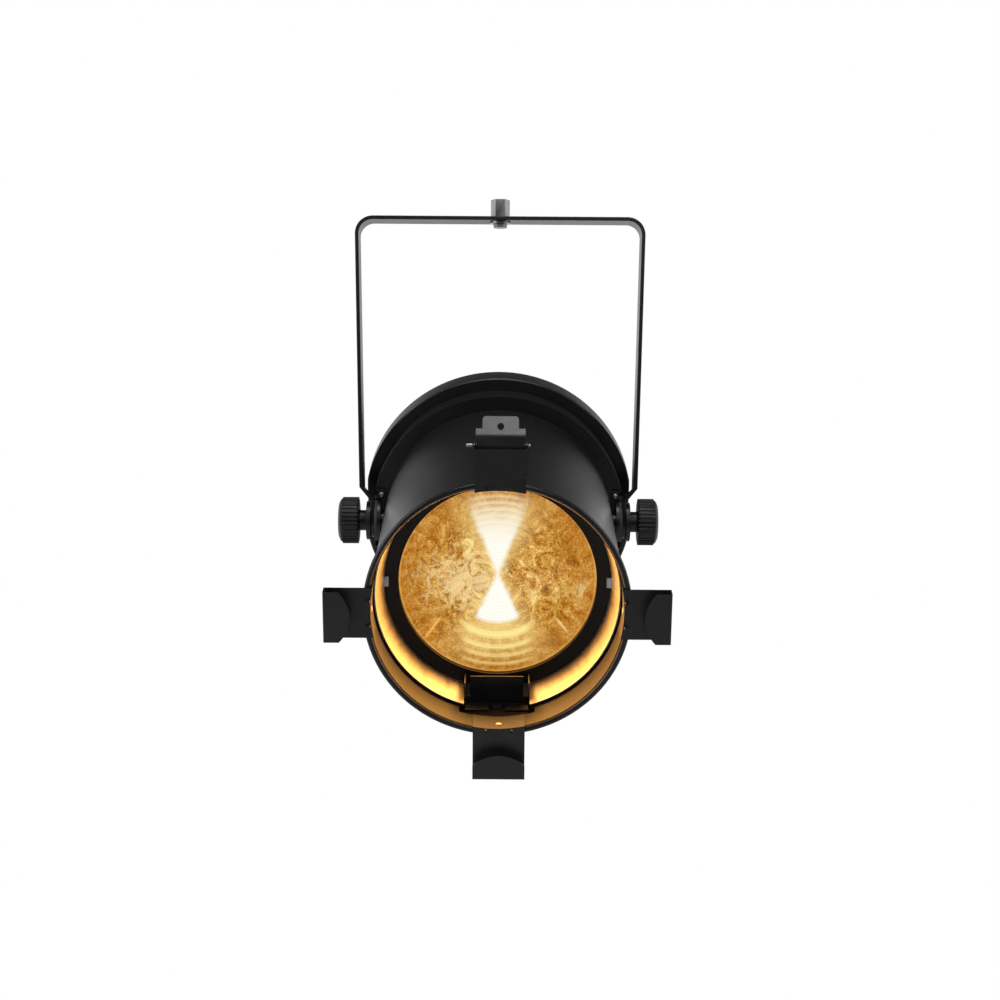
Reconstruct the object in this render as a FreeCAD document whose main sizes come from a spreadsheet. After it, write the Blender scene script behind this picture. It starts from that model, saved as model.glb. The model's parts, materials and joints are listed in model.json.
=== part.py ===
import FreeCAD, Part
import math
import os
import Sketcher

# Par can theatre lamp with a sliding Fresnel lens, hung in a flat-bar yoke.
# The row frame has +Z up, +X to the lamp's left-hand clip and -Y towards the light's mouth.
# Its origin is the mouth of the threaded hole in the top of the hanging stud.
# The lamp's own pieces are drawn in the lamp frame: origin on the tilt pivot, -Y along the beam.
# That frame is dropped below the stud and tipped forward by the tilt angle.

doc = FreeCAD.newDocument("par_can")
sheet = doc.addObject("Spreadsheet::Sheet", "Sizes")
pieces = []


class Size:
    """A length or an angle: its value now, and the sheet formula that it follows."""

    def __init__(self, value, formula):
        self.value = value
        self.formula = formula

    def join(self, other, sign, value):
        return Size(value, "(%s %s %s)" % (self.formula, sign, other.formula))

    def __add__(self, other):
        other = size(other)
        return self.join(other, "+", self.value + other.value)

    def __radd__(self, other):
        return size(other) + self

    def __sub__(self, other):
        other = size(other)
        return self.join(other, "-", self.value - other.value)

    def __rsub__(self, other):
        return size(other) - self

    def __mul__(self, other):
        other = size(other)
        return self.join(other, "*", self.value * other.value)

    def __rmul__(self, other):
        return size(other) * self

    def __truediv__(self, other):
        other = size(other)
        return self.join(other, "/", self.value / other.value)

    def __neg__(self):
        return Size(-self.value, "(0 - %s)" % self.formula)


def size(number):
    if isinstance(number, Size):
        return number
    return Size(float(number), repr(float(number)))


def root(number):
    return Size(math.sqrt(number.value), "sqrt(%s)" % number.formula)


def sine(angle):
    return Size(math.sin(math.radians(angle.value)), "sin(%s * 1deg)" % angle.formula)


def cosine(angle):
    return Size(math.cos(math.radians(angle.value)), "cos(%s * 1deg)" % angle.formula)


def driving(**values):
    """Write driving dimensions into the sheet, one row each, and return them as sizes."""
    made = []
    for name, value in values.items():
        driving.row += 1
        sheet.set("A%d" % driving.row, name)
        sheet.set("B%d" % driving.row, repr(float(value)))
        sheet.setAlias("B%d" % driving.row, name)
        made.append(Size(float(value), "Sizes." + name))
    return made if len(made) > 1 else made[0]


driving.row = 0


# ---------------------------------------------------------------- helpers for sketches and features

def bind(thing, path, number):
    thing.setExpression(path, size(number).formula)


def origin_part(body, role):
    for feature in body.Origin.OriginFeatures:
        if feature.Role == role:
            return feature
    raise ValueError(role)


def new_body(name, frame, turn=None):
    """A body of its own, placed in the row frame or the lamp frame, and turned about the beam."""
    body = doc.addObject("PartDesign::Body", name)
    body.Label = name
    place(body, frame, turn)
    pieces.append(body)
    return body


def place(thing, frame, turn=None):
    if frame == "lamp":
        drop = "vector(0; 0; %s)" % (-pivot_drop).formula
        lamp = "placement(%s; rotation(vector(1; 0; 0); %s))" % (drop, tilt_angle.formula)
        if turn is not None:
            lamp += " * placement(vector(0; 0; 0); rotation(vector(0; 1; 0); %g))" % turn
        thing.setExpression("Placement", lamp)


def new_sketch(body, role, offset=0, rise=0):
    """A sketch on one of the body's origin planes, lifted off it and shifted up in it."""
    sketch = body.newObject("Sketcher::SketchObject", body.Name + "_sketch")
    sketch.AttachmentSupport = [(origin_part(body, role), "")]
    sketch.MapMode = "FlatFace"
    bind(sketch, "AttachmentOffset.Base.z", offset)
    bind(sketch, "AttachmentOffset.Base.y", rise)
    return sketch


def fix_sizes(sketch, ties, links=()):
    """Add constraints in one go: plain links, then ties, each a (constraint maker, size) pair."""
    first = sketch.ConstraintCount
    sketch.addConstraint(list(links) + [make(value) for make, value, number in ties])
    for index, (make, value, number) in enumerate(ties):
        bind(sketch, "Constraints[%d]" % (first + len(links) + index), number)


def at_point(item, end, point):
    """Ties that hold one point of a sketch item at its two coordinates."""
    ties = []
    for kind, number in zip(("DistanceX", "DistanceY"), point):
        number = size(number)
        ties.append((lambda value, kind=kind: Sketcher.Constraint(kind, -1, 1, item, end, value),
                     number.value, number))
    return ties


def of_radius(item, number):
    return (lambda value: Sketcher.Constraint("Radius", item, value), number.value, number)


def vector_at(point):
    return FreeCAD.Vector(size(point[0]).value, size(point[1]).value, 0)


def outline(sketch, points):
    """A closed outline. A point (x, y) starts a straight edge, (x, y, radius) an arc.

    An arc with a positive radius bulges to the right of the way the outline runs.
    """
    count = len(points)
    ends = []
    ties = []
    for index, point in enumerate(points):
        start = vector_at(point)
        stop = vector_at(points[(index + 1) % count])
        if len(point) == 3:
            radius = size(point[2])
            chord = stop - start
            half = chord.Length / 2
            sign = 1 if radius.value > 0 else -1
            side = FreeCAD.Vector(chord.y, -chord.x, 0).normalize() * sign
            reach = abs(radius.value)
            middle = (start + stop) / 2
            centre = middle - side * math.sqrt(reach * reach - half * half)
            arc = Part.Arc(start, centre + side * reach, stop)
            item = sketch.addGeometry(arc, False)
            first_is_start = sketch.getPoint(item, 1).distanceToPoint(start) < 0.001
            ends.append((item, 1, 2) if first_is_start else (item, 2, 1))
            ties.append(of_radius(item, radius if sign > 0 else -radius))
        else:
            item = sketch.addGeometry(Part.LineSegment(start, stop), False)
            ends.append((item, 1, 2))
    links = []
    for index, point in enumerate(points):
        item, begin, finish = ends[index]
        following, entry, leaving = ends[(index + 1) % count]
        links.append(Sketcher.Constraint("Coincident", item, finish, following, entry))
        ties += at_point(item, begin, point[:2])
    fix_sizes(sketch, ties, links)


def rectangle(sketch, left, right, bottom, top):
    outline(sketch, [(left, bottom), (right, bottom), (right, top), (left, top)])


def circle(sketch, centre, radius):
    radius = size(radius)
    flat = Part.Circle(vector_at(centre), FreeCAD.Vector(0, 0, 1), radius.value)
    item = sketch.addGeometry(flat, False)
    fix_sizes(sketch, [of_radius(item, radius)] + at_point(item, 3, centre))


def hexagon(sketch, centre, flats):
    corner = size(flats) / root(size(3))
    half = corner / 2
    side = size(flats) / 2
    corners = [(corner, 0), (half, side), (-half, side), (-corner, 0), (-half, -side), (half, -side)]
    outline(sketch, [(centre[0] + size(x), centre[1] + size(y)) for x, y in corners])


def round_slot(sketch, half, front, back):
    """A slot with round ends, lying along the sketch's upright axis."""
    outline(sketch, [(-half, front + half), (-half, back - half, -half), (0, back, -half),
                     (half, back - half), (half, front + half, -half), (0, front, -half)])


def pad(body, sketch, length, midplane=False, reverse=False):
    feature = body.newObject("PartDesign::Pad", body.Name + "_pad")
    feature.Profile = sketch
    feature.Midplane = midplane
    feature.Reversed = reverse
    bind(feature, "Length", length)
    doc.recompute()
    return feature


def pocket(body, sketch, length, midplane=False, reverse=False):
    before = body.Shape.Volume
    feature = body.newObject("PartDesign::Pocket", body.Name + "_pocket")
    feature.Profile = sketch
    feature.Midplane = midplane
    feature.Reversed = reverse
    bind(feature, "Length", length)
    doc.recompute()
    if body.Shape.Volume > before - 0.01:
        raise RuntimeError("a pocket in %s cuts nothing" % body.Label)
    return feature


def revolve(body, sketch, axis="H_Axis"):
    feature = body.newObject("PartDesign::Revolution", body.Name + "_turned")
    feature.Profile = sketch
    feature.ReferenceAxis = (sketch, [axis])
    feature.Angle = 360
    doc.recompute()
    return feature


def repeat_round(body, features, axis, count, angle=360):
    """Repeat features round an axis, given as (object, its axis), and make that the body's tip."""
    pattern = body.newObject("PartDesign::PolarPattern", body.Name + "_pattern")
    pattern.Originals = features
    pattern.Axis = (axis[0], [axis[1]])
    pattern.Angle = angle
    pattern.Occurrences = count
    body.Tip = pattern
    doc.recompute()
    return pattern


def mirror(body, feature, role="YZ_Plane"):
    copy = body.newObject("PartDesign::Mirrored", body.Name + "_mirrored")
    copy.Originals = [feature]
    copy.MirrorPlane = (origin_part(body, role), [""])
    body.Tip = copy
    doc.recompute()
    return copy


def edges_near(body, test):
    """Names of the body's edges whose middle passes a test."""
    names = []
    for index, edge in enumerate(body.Shape.Edges):
        middle = edge.valueAt((edge.FirstParameter + edge.LastParameter) / 2)
        middle = body.Placement.inverse().multVec(middle)
        if test(middle, edge):
            names.append("Edge%d" % (index + 1))
    return names


def soften(body, kind, names, amount):
    """Round (Fillet) or bevel (Chamfer) the named edges of the body's last feature."""
    feature = body.newObject("PartDesign::" + kind, body.Name + "_" + kind.lower())
    feature.Base = (body.Tip if body.Tip != feature else feature.BaseFeature, names)
    bind(feature, "Radius" if kind == "Fillet" else "Size", amount)
    body.Tip = feature
    doc.recompute()
    return feature


def tube_piece(name, frame, front, back, outer, inner, rise=0):
    """A plain ring or tube about the beam axis, from front to back along Y."""
    body = new_body(name, frame)
    sketch = new_sketch(body, "XZ_Plane", -size(back), rise)
    circle(sketch, (0, 0), outer)
    if inner is not None:
        circle(sketch, (0, 0), inner)
    pad(body, sketch, size(back) - front)
    return body


def block(name, frame, left, right, front, back, bottom, top):
    """A plain block between named planes."""
    body = new_body(name, frame)
    sketch = new_sketch(body, "XZ_Plane", -size(back))
    rectangle(sketch, left, right, bottom, top)
    pad(body, sketch, size(back) - front)
    return body


# ---------------------------------------------------------------- driving dimensions, in millimetres

# Hanging stud, bolt and washer.
stud_height, stud_flats = driving(stud_height=15.5, stud_flats=14)
stud_chamfer = driving(stud_chamfer=1.6)
stud_hole_radius, stud_hole_depth = driving(stud_hole_radius=3.4, stud_hole_depth=6.5)
bolt_radius, bolt_flats, bolt_head = driving(bolt_radius=3, bolt_flats=10, bolt_head=3.6)
washer_radius, washer_thick = driving(washer_radius=9, washer_thick=1.5)
bar_width, bar_thick = driving(bar_width=28, bar_thick=3.2)
pivot_below_bar, tilt_angle = driving(pivot_below_bar=257, tilt_angle=17.5)
shaft_play = driving(shaft_play=0.05)
# Yoke: one bent flat bar.
foot_half, leg_half, top_half = driving(foot_half=107.6, leg_half=117.2, top_half=122.9)
joggle_start, joggle_rise = driving(joggle_start=16.6, joggle_rise=11.4)
yoke_corner = driving(yoke_corner=15)
pivot_hole_radius, hanging_hole_radius = driving(pivot_hole_radius=4.2, hanging_hole_radius=3.05)
# Tilt washers, discs and knobs.
disc_radius, disc_thick = driving(disc_radius=17, disc_thick=2.1)
tilt_washer_radius, tilt_washer_thick = driving(tilt_washer_radius=16.4, tilt_washer_thick=3.8)
knob_radius, knob_length, knob_bevel = driving(knob_radius=19.7, knob_length=17, knob_bevel=3.4)
neck_radius, neck_length = driving(neck_radius=8.7, neck_length=6.5)
rib_count, rib_depth, rib_width = driving(rib_count=36, rib_depth=0.8, rib_width=1.7)
tilt_stud_radius, tilt_stud_inside = driving(tilt_stud_radius=3.95, tilt_stud_inside=7)
# Pivot brackets on the ring.
bracket_thick, bracket_foot_half = driving(bracket_thick=2.8, bracket_foot_half=26.5)
bracket_foot_thick, bush_radius, bush_length = driving(bracket_foot_thick=2.2, bush_radius=7, bush_length=3)
bracket_screw_rise, screw_radius, screw_head = driving(
    bracket_screw_rise=21.5, screw_radius=1.5, screw_head=2.7)
screw_head_thick, screw_depth, bracket_gap = driving(screw_head_thick=1.8, screw_depth=2.4, bracket_gap=0.2)
pivot_to_ring = driving(pivot_to_ring=5)
# Nose tube with its rolled rim.
pivot_to_rim = driving(pivot_to_rim=216)
tube_radius, tube_wall, bead_radius, bead_rise = driving(
    tube_radius=96, tube_wall=1, bead_radius=2.3, bead_rise=1.9)
ring_flange, tube_flange_width = driving(ring_flange=3, tube_flange_width=2.4)
opening_half, opening_front, opening_length = driving(
    opening_half=29, opening_front=22.5, opening_length=120)
rivet_radius, rivet_head_radius, rivet_head_thick = driving(
    rivet_radius=2, rivet_head_radius=2.8, rivet_head_thick=0.9)
rivet_from_rim = driving(rivet_from_rim=7.5)
# Front ring behind the tube.
ring_radius, ring_depth, ring_wall = driving(ring_radius=107.5, ring_depth=22, ring_wall=3)
recess_radius, recess_half, boss_half = driving(recess_radius=24.8, recess_half=27.5, boss_half=98.8)
# Rear housing: drum, shoulder, barrel.
drum_radius, drum_rise, drum_depth, drum_wall = driving(
    drum_radius=115.3, drum_rise=2.5, drum_depth=25, drum_wall=8)
drum_flat_half, drum_bevel = driving(drum_flat_half=112.3, drum_bevel=1)
swing_radius, swing_half, flange_hole = driving(swing_radius=31.6, swing_half=109.2, flange_hole=98)
shoulder_length, barrel_radius, barrel_length = driving(
    shoulder_length=22, barrel_radius=90, barrel_length=80)
barrel_wall, flange_thick = driving(barrel_wall=2.5, flange_thick=3)
vent_count, vent_width, vent_length, vent_start = driving(
    vent_count=20, vent_width=6, vent_length=50, vent_start=14)
# Clips and catch for the gel frame.
gel_half, gel_play, sheet_thick = driving(gel_half=127, gel_play=0.5, sheet_thick=1)
gel_drop = driving(gel_drop=3)
clip_width, catch_width, clip_depth, foot_length = driving(
    clip_width=39.4, catch_width=37.5, clip_depth=9.2, foot_length=21.5)
lip_side, lip_middle, plate_gap = driving(lip_side=11.5, lip_middle=19.5, plate_gap=0.1)
gusset_half, gusset_size, gusset_thick = driving(gusset_half=9.8, gusset_size=3.2, gusset_thick=1.4)
wall_round, lever_gap, eye_rim = driving(wall_round=1, lever_gap=0.3, eye_rim=2.4)
clip_aside, clip_down = driving(clip_aside=1.6, clip_down=1.4)
pin_radius, pin_back, pin_stub = driving(pin_radius=1.2, pin_back=4.1, pin_stub=4.5)
pin_rise = driving(pin_rise=2)
ear_above_gel, ear_reach = driving(ear_above_gel=4.5, ear_reach=6)
lever_half, lever_above_gel, lever_below_gel = driving(
    lever_half=20.2, lever_above_gel=0.7, lever_below_gel=21.8)
web_depth, riser_height, riser_half = driving(web_depth=4.4, riser_height=9.3, riser_half=17.5)
tab_lean, tab_length, tab_half, tab_top_half = driving(
    tab_lean=25, tab_length=14.4, tab_half=17.8, tab_top_half=13)
tab_shoulder, tab_hole, tab_corner = driving(tab_shoulder=5, tab_hole=2.5, tab_corner=3)
tab_hole_place, lever_corner, flange_depth = driving(tab_hole_place=0.45, lever_corner=6, flange_depth=1.4)
spring_wire, spring_radius, spring_turns, spring_pitch = driving(
    spring_wire=0.3, spring_radius=1.55, spring_turns=9, spring_pitch=1.1)
# Lens carriage.
sleeve_front, sleeve_length = driving(sleeve_front=34, sleeve_length=41)
sleeve_play, sleeve_wall, seat_inset = driving(sleeve_play=2.2, sleeve_wall=1.2, seat_inset=6.3)
holder_front, holder_lip, holder_depth = driving(holder_front=65, holder_lip=10.8, holder_depth=5)
lens_inset, lens_thick, lens_rings, lens_step = driving(
    lens_inset=4.5, lens_thick=5, lens_rings=12, lens_step=1.8)
sleeve_tab_half, sleeve_tab_reach, sleeve_tab_thick = driving(
    sleeve_tab_half=4.2, sleeve_tab_reach=3.2, sleeve_tab_thick=1.2)
bracket_half, web_half, web_height = driving(bracket_half=25.4, web_half=20.7, web_height=22.6)
base_front, base_length, web_front = driving(base_front=39, base_length=25, web_front=51.5)
notch_half, notch_depth = driving(notch_half=6.5, notch_depth=10)
ear_inset, ear_slant, ear_drop, web_corner = driving(ear_inset=3, ear_slant=3, ear_drop=3, web_corner=6)
joint_lap = driving(joint_lap=0.2)
zoom_screw_y, zoom_screw_radius, nut_radius, nut_thick = driving(
    zoom_screw_y=59, zoom_screw_radius=2.5, nut_radius=5, nut_thick=4)
# Zoom channel and locking knob.
channel_half, channel_wall, channel_play = driving(channel_half=30, channel_wall=1.2, channel_play=0.6)
slot_back_travel, slot_front_travel = driving(slot_back_travel=70, slot_front_travel=11)
zoom_knob_radius, zoom_knob_length, zoom_neck_radius, zoom_neck_length = driving(
    zoom_knob_radius=13, zoom_knob_length=13, zoom_neck_radius=6.5, zoom_neck_length=4)
zoom_knob_bevel, zoom_screw_grip, zoom_screw_spare = driving(
    zoom_knob_bevel=2, zoom_screw_grip=7, zoom_screw_spare=1)
# Light engine.
sink_radius, sink_base, fin_count, fin_thick = driving(
    sink_radius=104, sink_base=6, fin_count=30, fin_thick=1.6)
fin_inner, fin_outer, fin_length = driving(fin_inner=14, fin_outer=82, fin_length=42)
board_half, board_thick, emitter_radius = driving(board_half=20, board_thick=1.6, emitter_radius=11)
holder_radius, holder_hole, holder_height = driving(holder_radius=27, holder_hole=13, holder_height=3)
reflector_mouth, reflector_length, reflector_wall = driving(
    reflector_mouth=32, reflector_length=34, reflector_wall=1)
baffle_thick, emitter_height = driving(baffle_thick=1, emitter_height=0.8)
# Fan behind the heat sink.
fan_half, fan_depth, fan_hole, fan_gap = driving(fan_half=46, fan_depth=25, fan_hole=43, fan_gap=1)
hub_radius, hub_length, blade_count, blade_thick = driving(
    hub_radius=16, hub_length=18, blade_count=7, blade_thick=1.6)
fan_axle_radius, fan_axle_length, rotor_gap, blade_inset = driving(
    fan_axle_radius=2, fan_axle_length=19, rotor_gap=4, blade_inset=2)
blade_sweep_half, blade_clearance, strut_half, strut_thick = driving(
    blade_sweep_half=7, blade_clearance=2, strut_half=3, strut_thick=3)
# Driver board and its parts.
supply_y, supply_thick, supply_half = driving(supply_y=130, supply_thick=1.6, supply_half=56)
supply_height, coil_left, coil_width = driving(supply_height=70, coil_left=-45, coil_width=28)
coil_low, coil_height, coil_depth = driving(coil_low=8, coil_height=26, coil_depth=14)
capacitor_radius, capacitor_height, capacitor_rise = driving(
    capacitor_radius=7, capacitor_height=14, capacitor_rise=18)
capacitor_first, capacitor_pitch = driving(capacitor_first=4, capacitor_pitch=16)
# Rear panel with controls and sockets.
panel_recess, panel_thick, panel_play = driving(panel_recess=4, panel_thick=2.5, panel_play=0.2)
socket_across, power_rise, data_rise = driving(socket_across=34, power_rise=-8, data_rise=-44)
power_radius, data_radius, fuse_radius = driving(power_radius=12.5, data_radius=12, fuse_radius=6.5)
flange_half, socket_proud, socket_length, socket_depth = driving(
    flange_half=15.5, socket_proud=3, socket_length=18, socket_depth=14)
power_bore, data_bore = driving(power_bore=10, data_bore=9)
fuse_depth, fuse_rim, fuse_bore, fuse_cap_length = driving(
    fuse_depth=17, fuse_rim=1.5, fuse_bore=4, fuse_cap_length=5)
fuse_rim_width, fuse_stem, coin_slot_half, coin_slot_depth = driving(
    fuse_rim_width=2, fuse_stem=8, coin_slot_half=0.6, coin_slot_depth=1.5)
display_half, display_low, display_high = driving(display_half=24, display_low=44, display_high=64)
button_rise, button_pitch, button_radius, button_proud = driving(
    button_rise=30, button_pitch=15, button_radius=4, button_proud=3)
button_play, window_proud = driving(button_play=0.3, window_proud=0.4)
control_gap, control_half, control_thick = driving(control_gap=10, control_half=30, control_thick=1.6)
button_collar, button_collar_length = driving(button_collar=1.2, button_collar_length=1.5)
eye_wire, eye_half, eye_reach, eye_rise = driving(eye_wire=2.5, eye_half=10, eye_reach=14, eye_rise=-71)
eye_plate_margin, eye_plate_thick = driving(eye_plate_margin=5, eye_plate_thick=2)
panel_screw_count, panel_screw_inset, panel_screw_head = driving(
    panel_screw_count=5, panel_screw_inset=7, panel_screw_head=3)
doc.recompute()

# ---------------------------------------------------------------- hanging stud, bolt and washer

pivot_drop = stud_height + pivot_below_bar
bar_top = -stud_height
bar_under = bar_top - bar_thick
bolt_tip = -(stud_hole_depth + 1)

hanging_stud = new_body("hanging_stud", "row")
sketch = new_sketch(hanging_stud, "XY_Plane")
hexagon(sketch, (0, 0), stud_flats)
pad(hanging_stud, sketch, stud_height, reverse=True)
sketch = new_sketch(hanging_stud, "XZ_Plane")
corner = stud_flats / root(size(3)) + 1
outline(sketch, [(stud_flats / 2, bar_top), (corner, bar_top), (corner, bar_top + stud_chamfer)])
groove = hanging_stud.newObject("PartDesign::Groove", "stud_bevel")
groove.Profile = sketch
groove.ReferenceAxis = (sketch, ["V_Axis"])
groove.Angle = 360
doc.recompute()
sketch = new_sketch(hanging_stud, "XY_Plane")
circle(sketch, (0, 0), stud_hole_radius)
pocket(hanging_stud, sketch, stud_hole_depth)
sketch = new_sketch(hanging_stud, "XY_Plane", bar_top)
circle(sketch, (0, 0), bolt_radius)
pocket(hanging_stud, sketch, stud_height - stud_hole_depth, reverse=True)

hanging_bolt = new_body("hanging_bolt", "row")
sketch = new_sketch(hanging_bolt, "XY_Plane", bar_under - washer_thick)
circle(sketch, (0, 0), bolt_radius)
pad(hanging_bolt, sketch, bolt_tip - (bar_under - washer_thick))
sketch = new_sketch(hanging_bolt, "XY_Plane", bar_under - washer_thick)
hexagon(sketch, (0, 0), bolt_flats)
pad(hanging_bolt, sketch, bolt_head, reverse=True)

hanging_washer = new_body("hanging_washer", "row")
sketch = new_sketch(hanging_washer, "XY_Plane", bar_under)
circle(sketch, (0, 0), washer_radius)
circle(sketch, (0, 0), bolt_radius)
pad(hanging_washer, sketch, washer_thick, reverse=True)

# ---------------------------------------------------------------- yoke: one bent flat bar

# Half widths are to the outer face of the bar. Each end is joggled inwards so that it sits
# against the pivot bracket, while the leg above it stands clear of the wider drum.

foot_end = -pivot_drop - bar_width / 2
joggle_low = -pivot_drop + joggle_start
joggle_high = joggle_low + joggle_rise
yoke_bar = new_body("yoke_bar", "row")
sketch = new_sketch(yoke_bar, "XZ_Plane")
right_side = [(foot_half, foot_end), (foot_half, joggle_low), (leg_half, joggle_high), (top_half, bar_top)]
outer_side = right_side + [(-x, z) for x, z in reversed(right_side)]
inner_side = [(x - bar_thick, z) for x, z in right_side[:3]] + [(top_half - bar_thick, bar_under)]
inner_left = [(-x, z) for x, z in inner_side]
outline(sketch, outer_side + inner_left + list(reversed(inner_side)))
pad(yoke_bar, sketch, bar_width, midplane=True)
top_line = bar_top.value
outer_corners = edges_near(yoke_bar, lambda p, e: abs(p.y) < 0.1 and abs(abs(p.x) - top_half.value) < 0.1
                           and abs(p.z - top_line) < 0.1)
soften(yoke_bar, "Fillet", outer_corners, yoke_corner)
inner_x = (top_half - bar_thick).value
inner_corners = edges_near(yoke_bar, lambda p, e: abs(p.y) < 0.1 and abs(abs(p.x) - inner_x) < 0.1
                           and abs(p.z - bar_under.value) < 0.1)
soften(yoke_bar, "Fillet", inner_corners, yoke_corner - bar_thick)
foot_corners = edges_near(yoke_bar, lambda p, e: abs(abs(p.y) - bar_width.value / 2) < 0.1
                          and abs(p.z - foot_end.value) < 0.1)
soften(yoke_bar, "Fillet", foot_corners, bar_width / 2 - 0.2)
sketch = new_sketch(yoke_bar, "YZ_Plane")
circle(sketch, (0, -pivot_drop), pivot_hole_radius)
pocket(yoke_bar, sketch, foot_half * 2 + 10, midplane=True)
sketch = new_sketch(yoke_bar, "XY_Plane", bar_top + 1)
circle(sketch, (0, 0), hanging_hole_radius)
pocket(yoke_bar, sketch, bar_thick + 5)

# ---------------------------------------------------------------- tilt washers, discs and knobs

foot_inner = foot_half - bar_thick
washer_face = foot_half + tilt_washer_thick
neck_start = washer_face + shaft_play
grip_start = neck_start + neck_length
grip_end = grip_start + knob_length


def pivot_rings(name, inner_face, thick, radius):
    """Two equal rings on the tilt axis, one at each end of the yoke."""
    body = new_body(name, "row")
    sketch = new_sketch(body, "YZ_Plane", inner_face)
    circle(sketch, (0, -pivot_drop), radius)
    circle(sketch, (0, -pivot_drop), pivot_hole_radius)
    ring = pad(body, sketch, thick)
    mirror(body, ring)
    return body


pivot_rings("friction_discs", foot_inner - disc_thick, disc_thick, disc_radius)
pivot_rings("tilt_washers", foot_half, tilt_washer_thick, tilt_washer_radius)


def tilt_knob(side_name, sign):
    """Moulded grip with straight ribs, drawn in the lamp frame with its stud along X."""
    body = new_body("tilt_knob_" + side_name, "lamp", 0 if sign > 0 else 180)
    sketch = new_sketch(body, "XZ_Plane")
    bore = tilt_stud_radius
    outline(sketch, [(neck_start, bore), (neck_start, neck_radius), (grip_start, neck_radius),
                     (grip_start, knob_radius), (grip_end - knob_bevel, knob_radius),
                     (grip_end, knob_radius - knob_bevel / 2), (grip_end, 0),
                     (grip_start + tilt_stud_inside, 0), (grip_start + tilt_stud_inside, bore)])
    revolve(body, sketch, "H_Axis")
    sketch = new_sketch(body, "YZ_Plane", grip_start - 1)
    rectangle(sketch, -rib_width / 2, rib_width / 2, knob_radius - rib_depth, knob_radius + 1)
    cut = pocket(body, sketch, knob_length + 2, reverse=True)
    repeat_round(body, [cut], (sketch, "N_Axis"), int(rib_count.value))

    stud = new_body("tilt_stud_" + side_name, "lamp", 0 if sign > 0 else 180)
    sketch = new_sketch(stud, "YZ_Plane", bracket_inner)
    circle(sketch, (0, 0), tilt_stud_radius)
    pad(stud, sketch, grip_start + tilt_stud_inside - bracket_inner)


# ---------------------------------------------------------------- pivot brackets on the ring

bracket_face = foot_inner - disc_thick - shaft_play
bracket_back = bracket_face - bracket_thick
bracket_inner = bracket_back - bush_length
screw_across = bracket_face - bracket_thick - 0.3


def pivot_bracket(side_name, sign):
    """Folded plate: a round arm with a threaded bush for the knob's stud, and a screwed foot."""
    body = new_body("pivot_bracket_" + side_name, "lamp", 0 if sign > 0 else 180)
    sketch = new_sketch(body, "YZ_Plane", bracket_back)
    outline(sketch, [(0, disc_radius, disc_radius), (-disc_radius, 0, disc_radius), (0, -disc_radius),
                     (pivot_to_ring, -disc_radius), (pivot_to_ring, disc_radius)])
    pad(body, sketch, bracket_thick)
    sketch = new_sketch(body, "XZ_Plane", -pivot_to_ring)
    rectangle(sketch, bracket_inner, bracket_face, -bracket_foot_half, bracket_foot_half)
    pad(body, sketch, bracket_foot_thick)
    sketch = new_sketch(body, "YZ_Plane", bracket_inner)
    circle(sketch, (0, 0), bush_radius)
    pad(body, sketch, bush_length)
    sketch = new_sketch(body, "YZ_Plane", bracket_inner - 1)
    circle(sketch, (0, 0), tilt_stud_radius + shaft_play)
    pocket(body, sketch, bracket_face - bracket_inner + 2, reverse=True)
    sketch = new_sketch(body, "XZ_Plane", -pivot_to_ring - 1)
    circle(sketch, (screw_across, bracket_screw_rise), screw_radius)
    circle(sketch, (screw_across, -bracket_screw_rise), screw_radius)
    pocket(body, sketch, bracket_foot_thick + 2, reverse=True)


for side_name, sign in (("left", 1), ("right", -1)):
    pivot_bracket(side_name, sign)
    tilt_knob(side_name, sign)

bracket_screws = new_body("bracket_screws", "lamp")
foot_front = pivot_to_ring - bracket_foot_thick
sketch = new_sketch(bracket_screws, "XZ_Plane", -foot_front)
for across in (screw_across, -screw_across):
    for rise in (bracket_screw_rise, -bracket_screw_rise):
        circle(sketch, (across, rise), screw_head)
pad(bracket_screws, sketch, screw_head_thick)
sketch = new_sketch(bracket_screws, "XZ_Plane", -foot_front)
for across in (screw_across, -screw_across):
    for rise in (bracket_screw_rise, -bracket_screw_rise):
        circle(sketch, (across, rise), screw_radius)
pad(bracket_screws, sketch, bracket_foot_thick + screw_depth, reverse=True)

# ---------------------------------------------------------------- nose tube with its rolled rim

rim_y = -pivot_to_rim
tube_inner = tube_radius - tube_wall
tube_flange_radius = tube_radius + tube_flange_width
bead_centre = tube_radius + bead_rise
ring_front = pivot_to_ring
tube_back = ring_front + ring_flange
nose_tube = new_body("nose_tube", "lamp")
sketch = new_sketch(nose_tube, "YZ_Plane")
outline(sketch, [(rim_y + bead_radius, tube_inner), (tube_back + tube_wall, tube_inner),
                 (tube_back + tube_wall, tube_flange_radius), (tube_back, tube_flange_radius),
                 (tube_back, tube_radius), (rim_y + bead_radius, tube_radius)])
revolve(nose_tube, sketch)
sketch = new_sketch(nose_tube, "YZ_Plane")
circle(sketch, (rim_y + bead_radius, bead_centre), bead_radius)
revolve(nose_tube, sketch)
sketch = new_sketch(nose_tube, "XY_Plane")
opening_y = rim_y + opening_front
rectangle(sketch, -opening_half, opening_half, opening_y, opening_y + opening_length)
pocket(nose_tube, sketch, tube_radius + 5)
rivet_y = rim_y + rivet_from_rim
sketch = new_sketch(nose_tube, "XY_Plane")
circle(sketch, (clip_aside, rivet_y), rivet_radius)
pocket(nose_tube, sketch, tube_radius * 2 + 10, midplane=True)
sketch = new_sketch(nose_tube, "YZ_Plane")
circle(sketch, (rivet_y, -clip_down), rivet_radius)
pocket(nose_tube, sketch, tube_radius * 2 + 10, midplane=True)

# ---------------------------------------------------------------- front ring behind the tube

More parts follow.
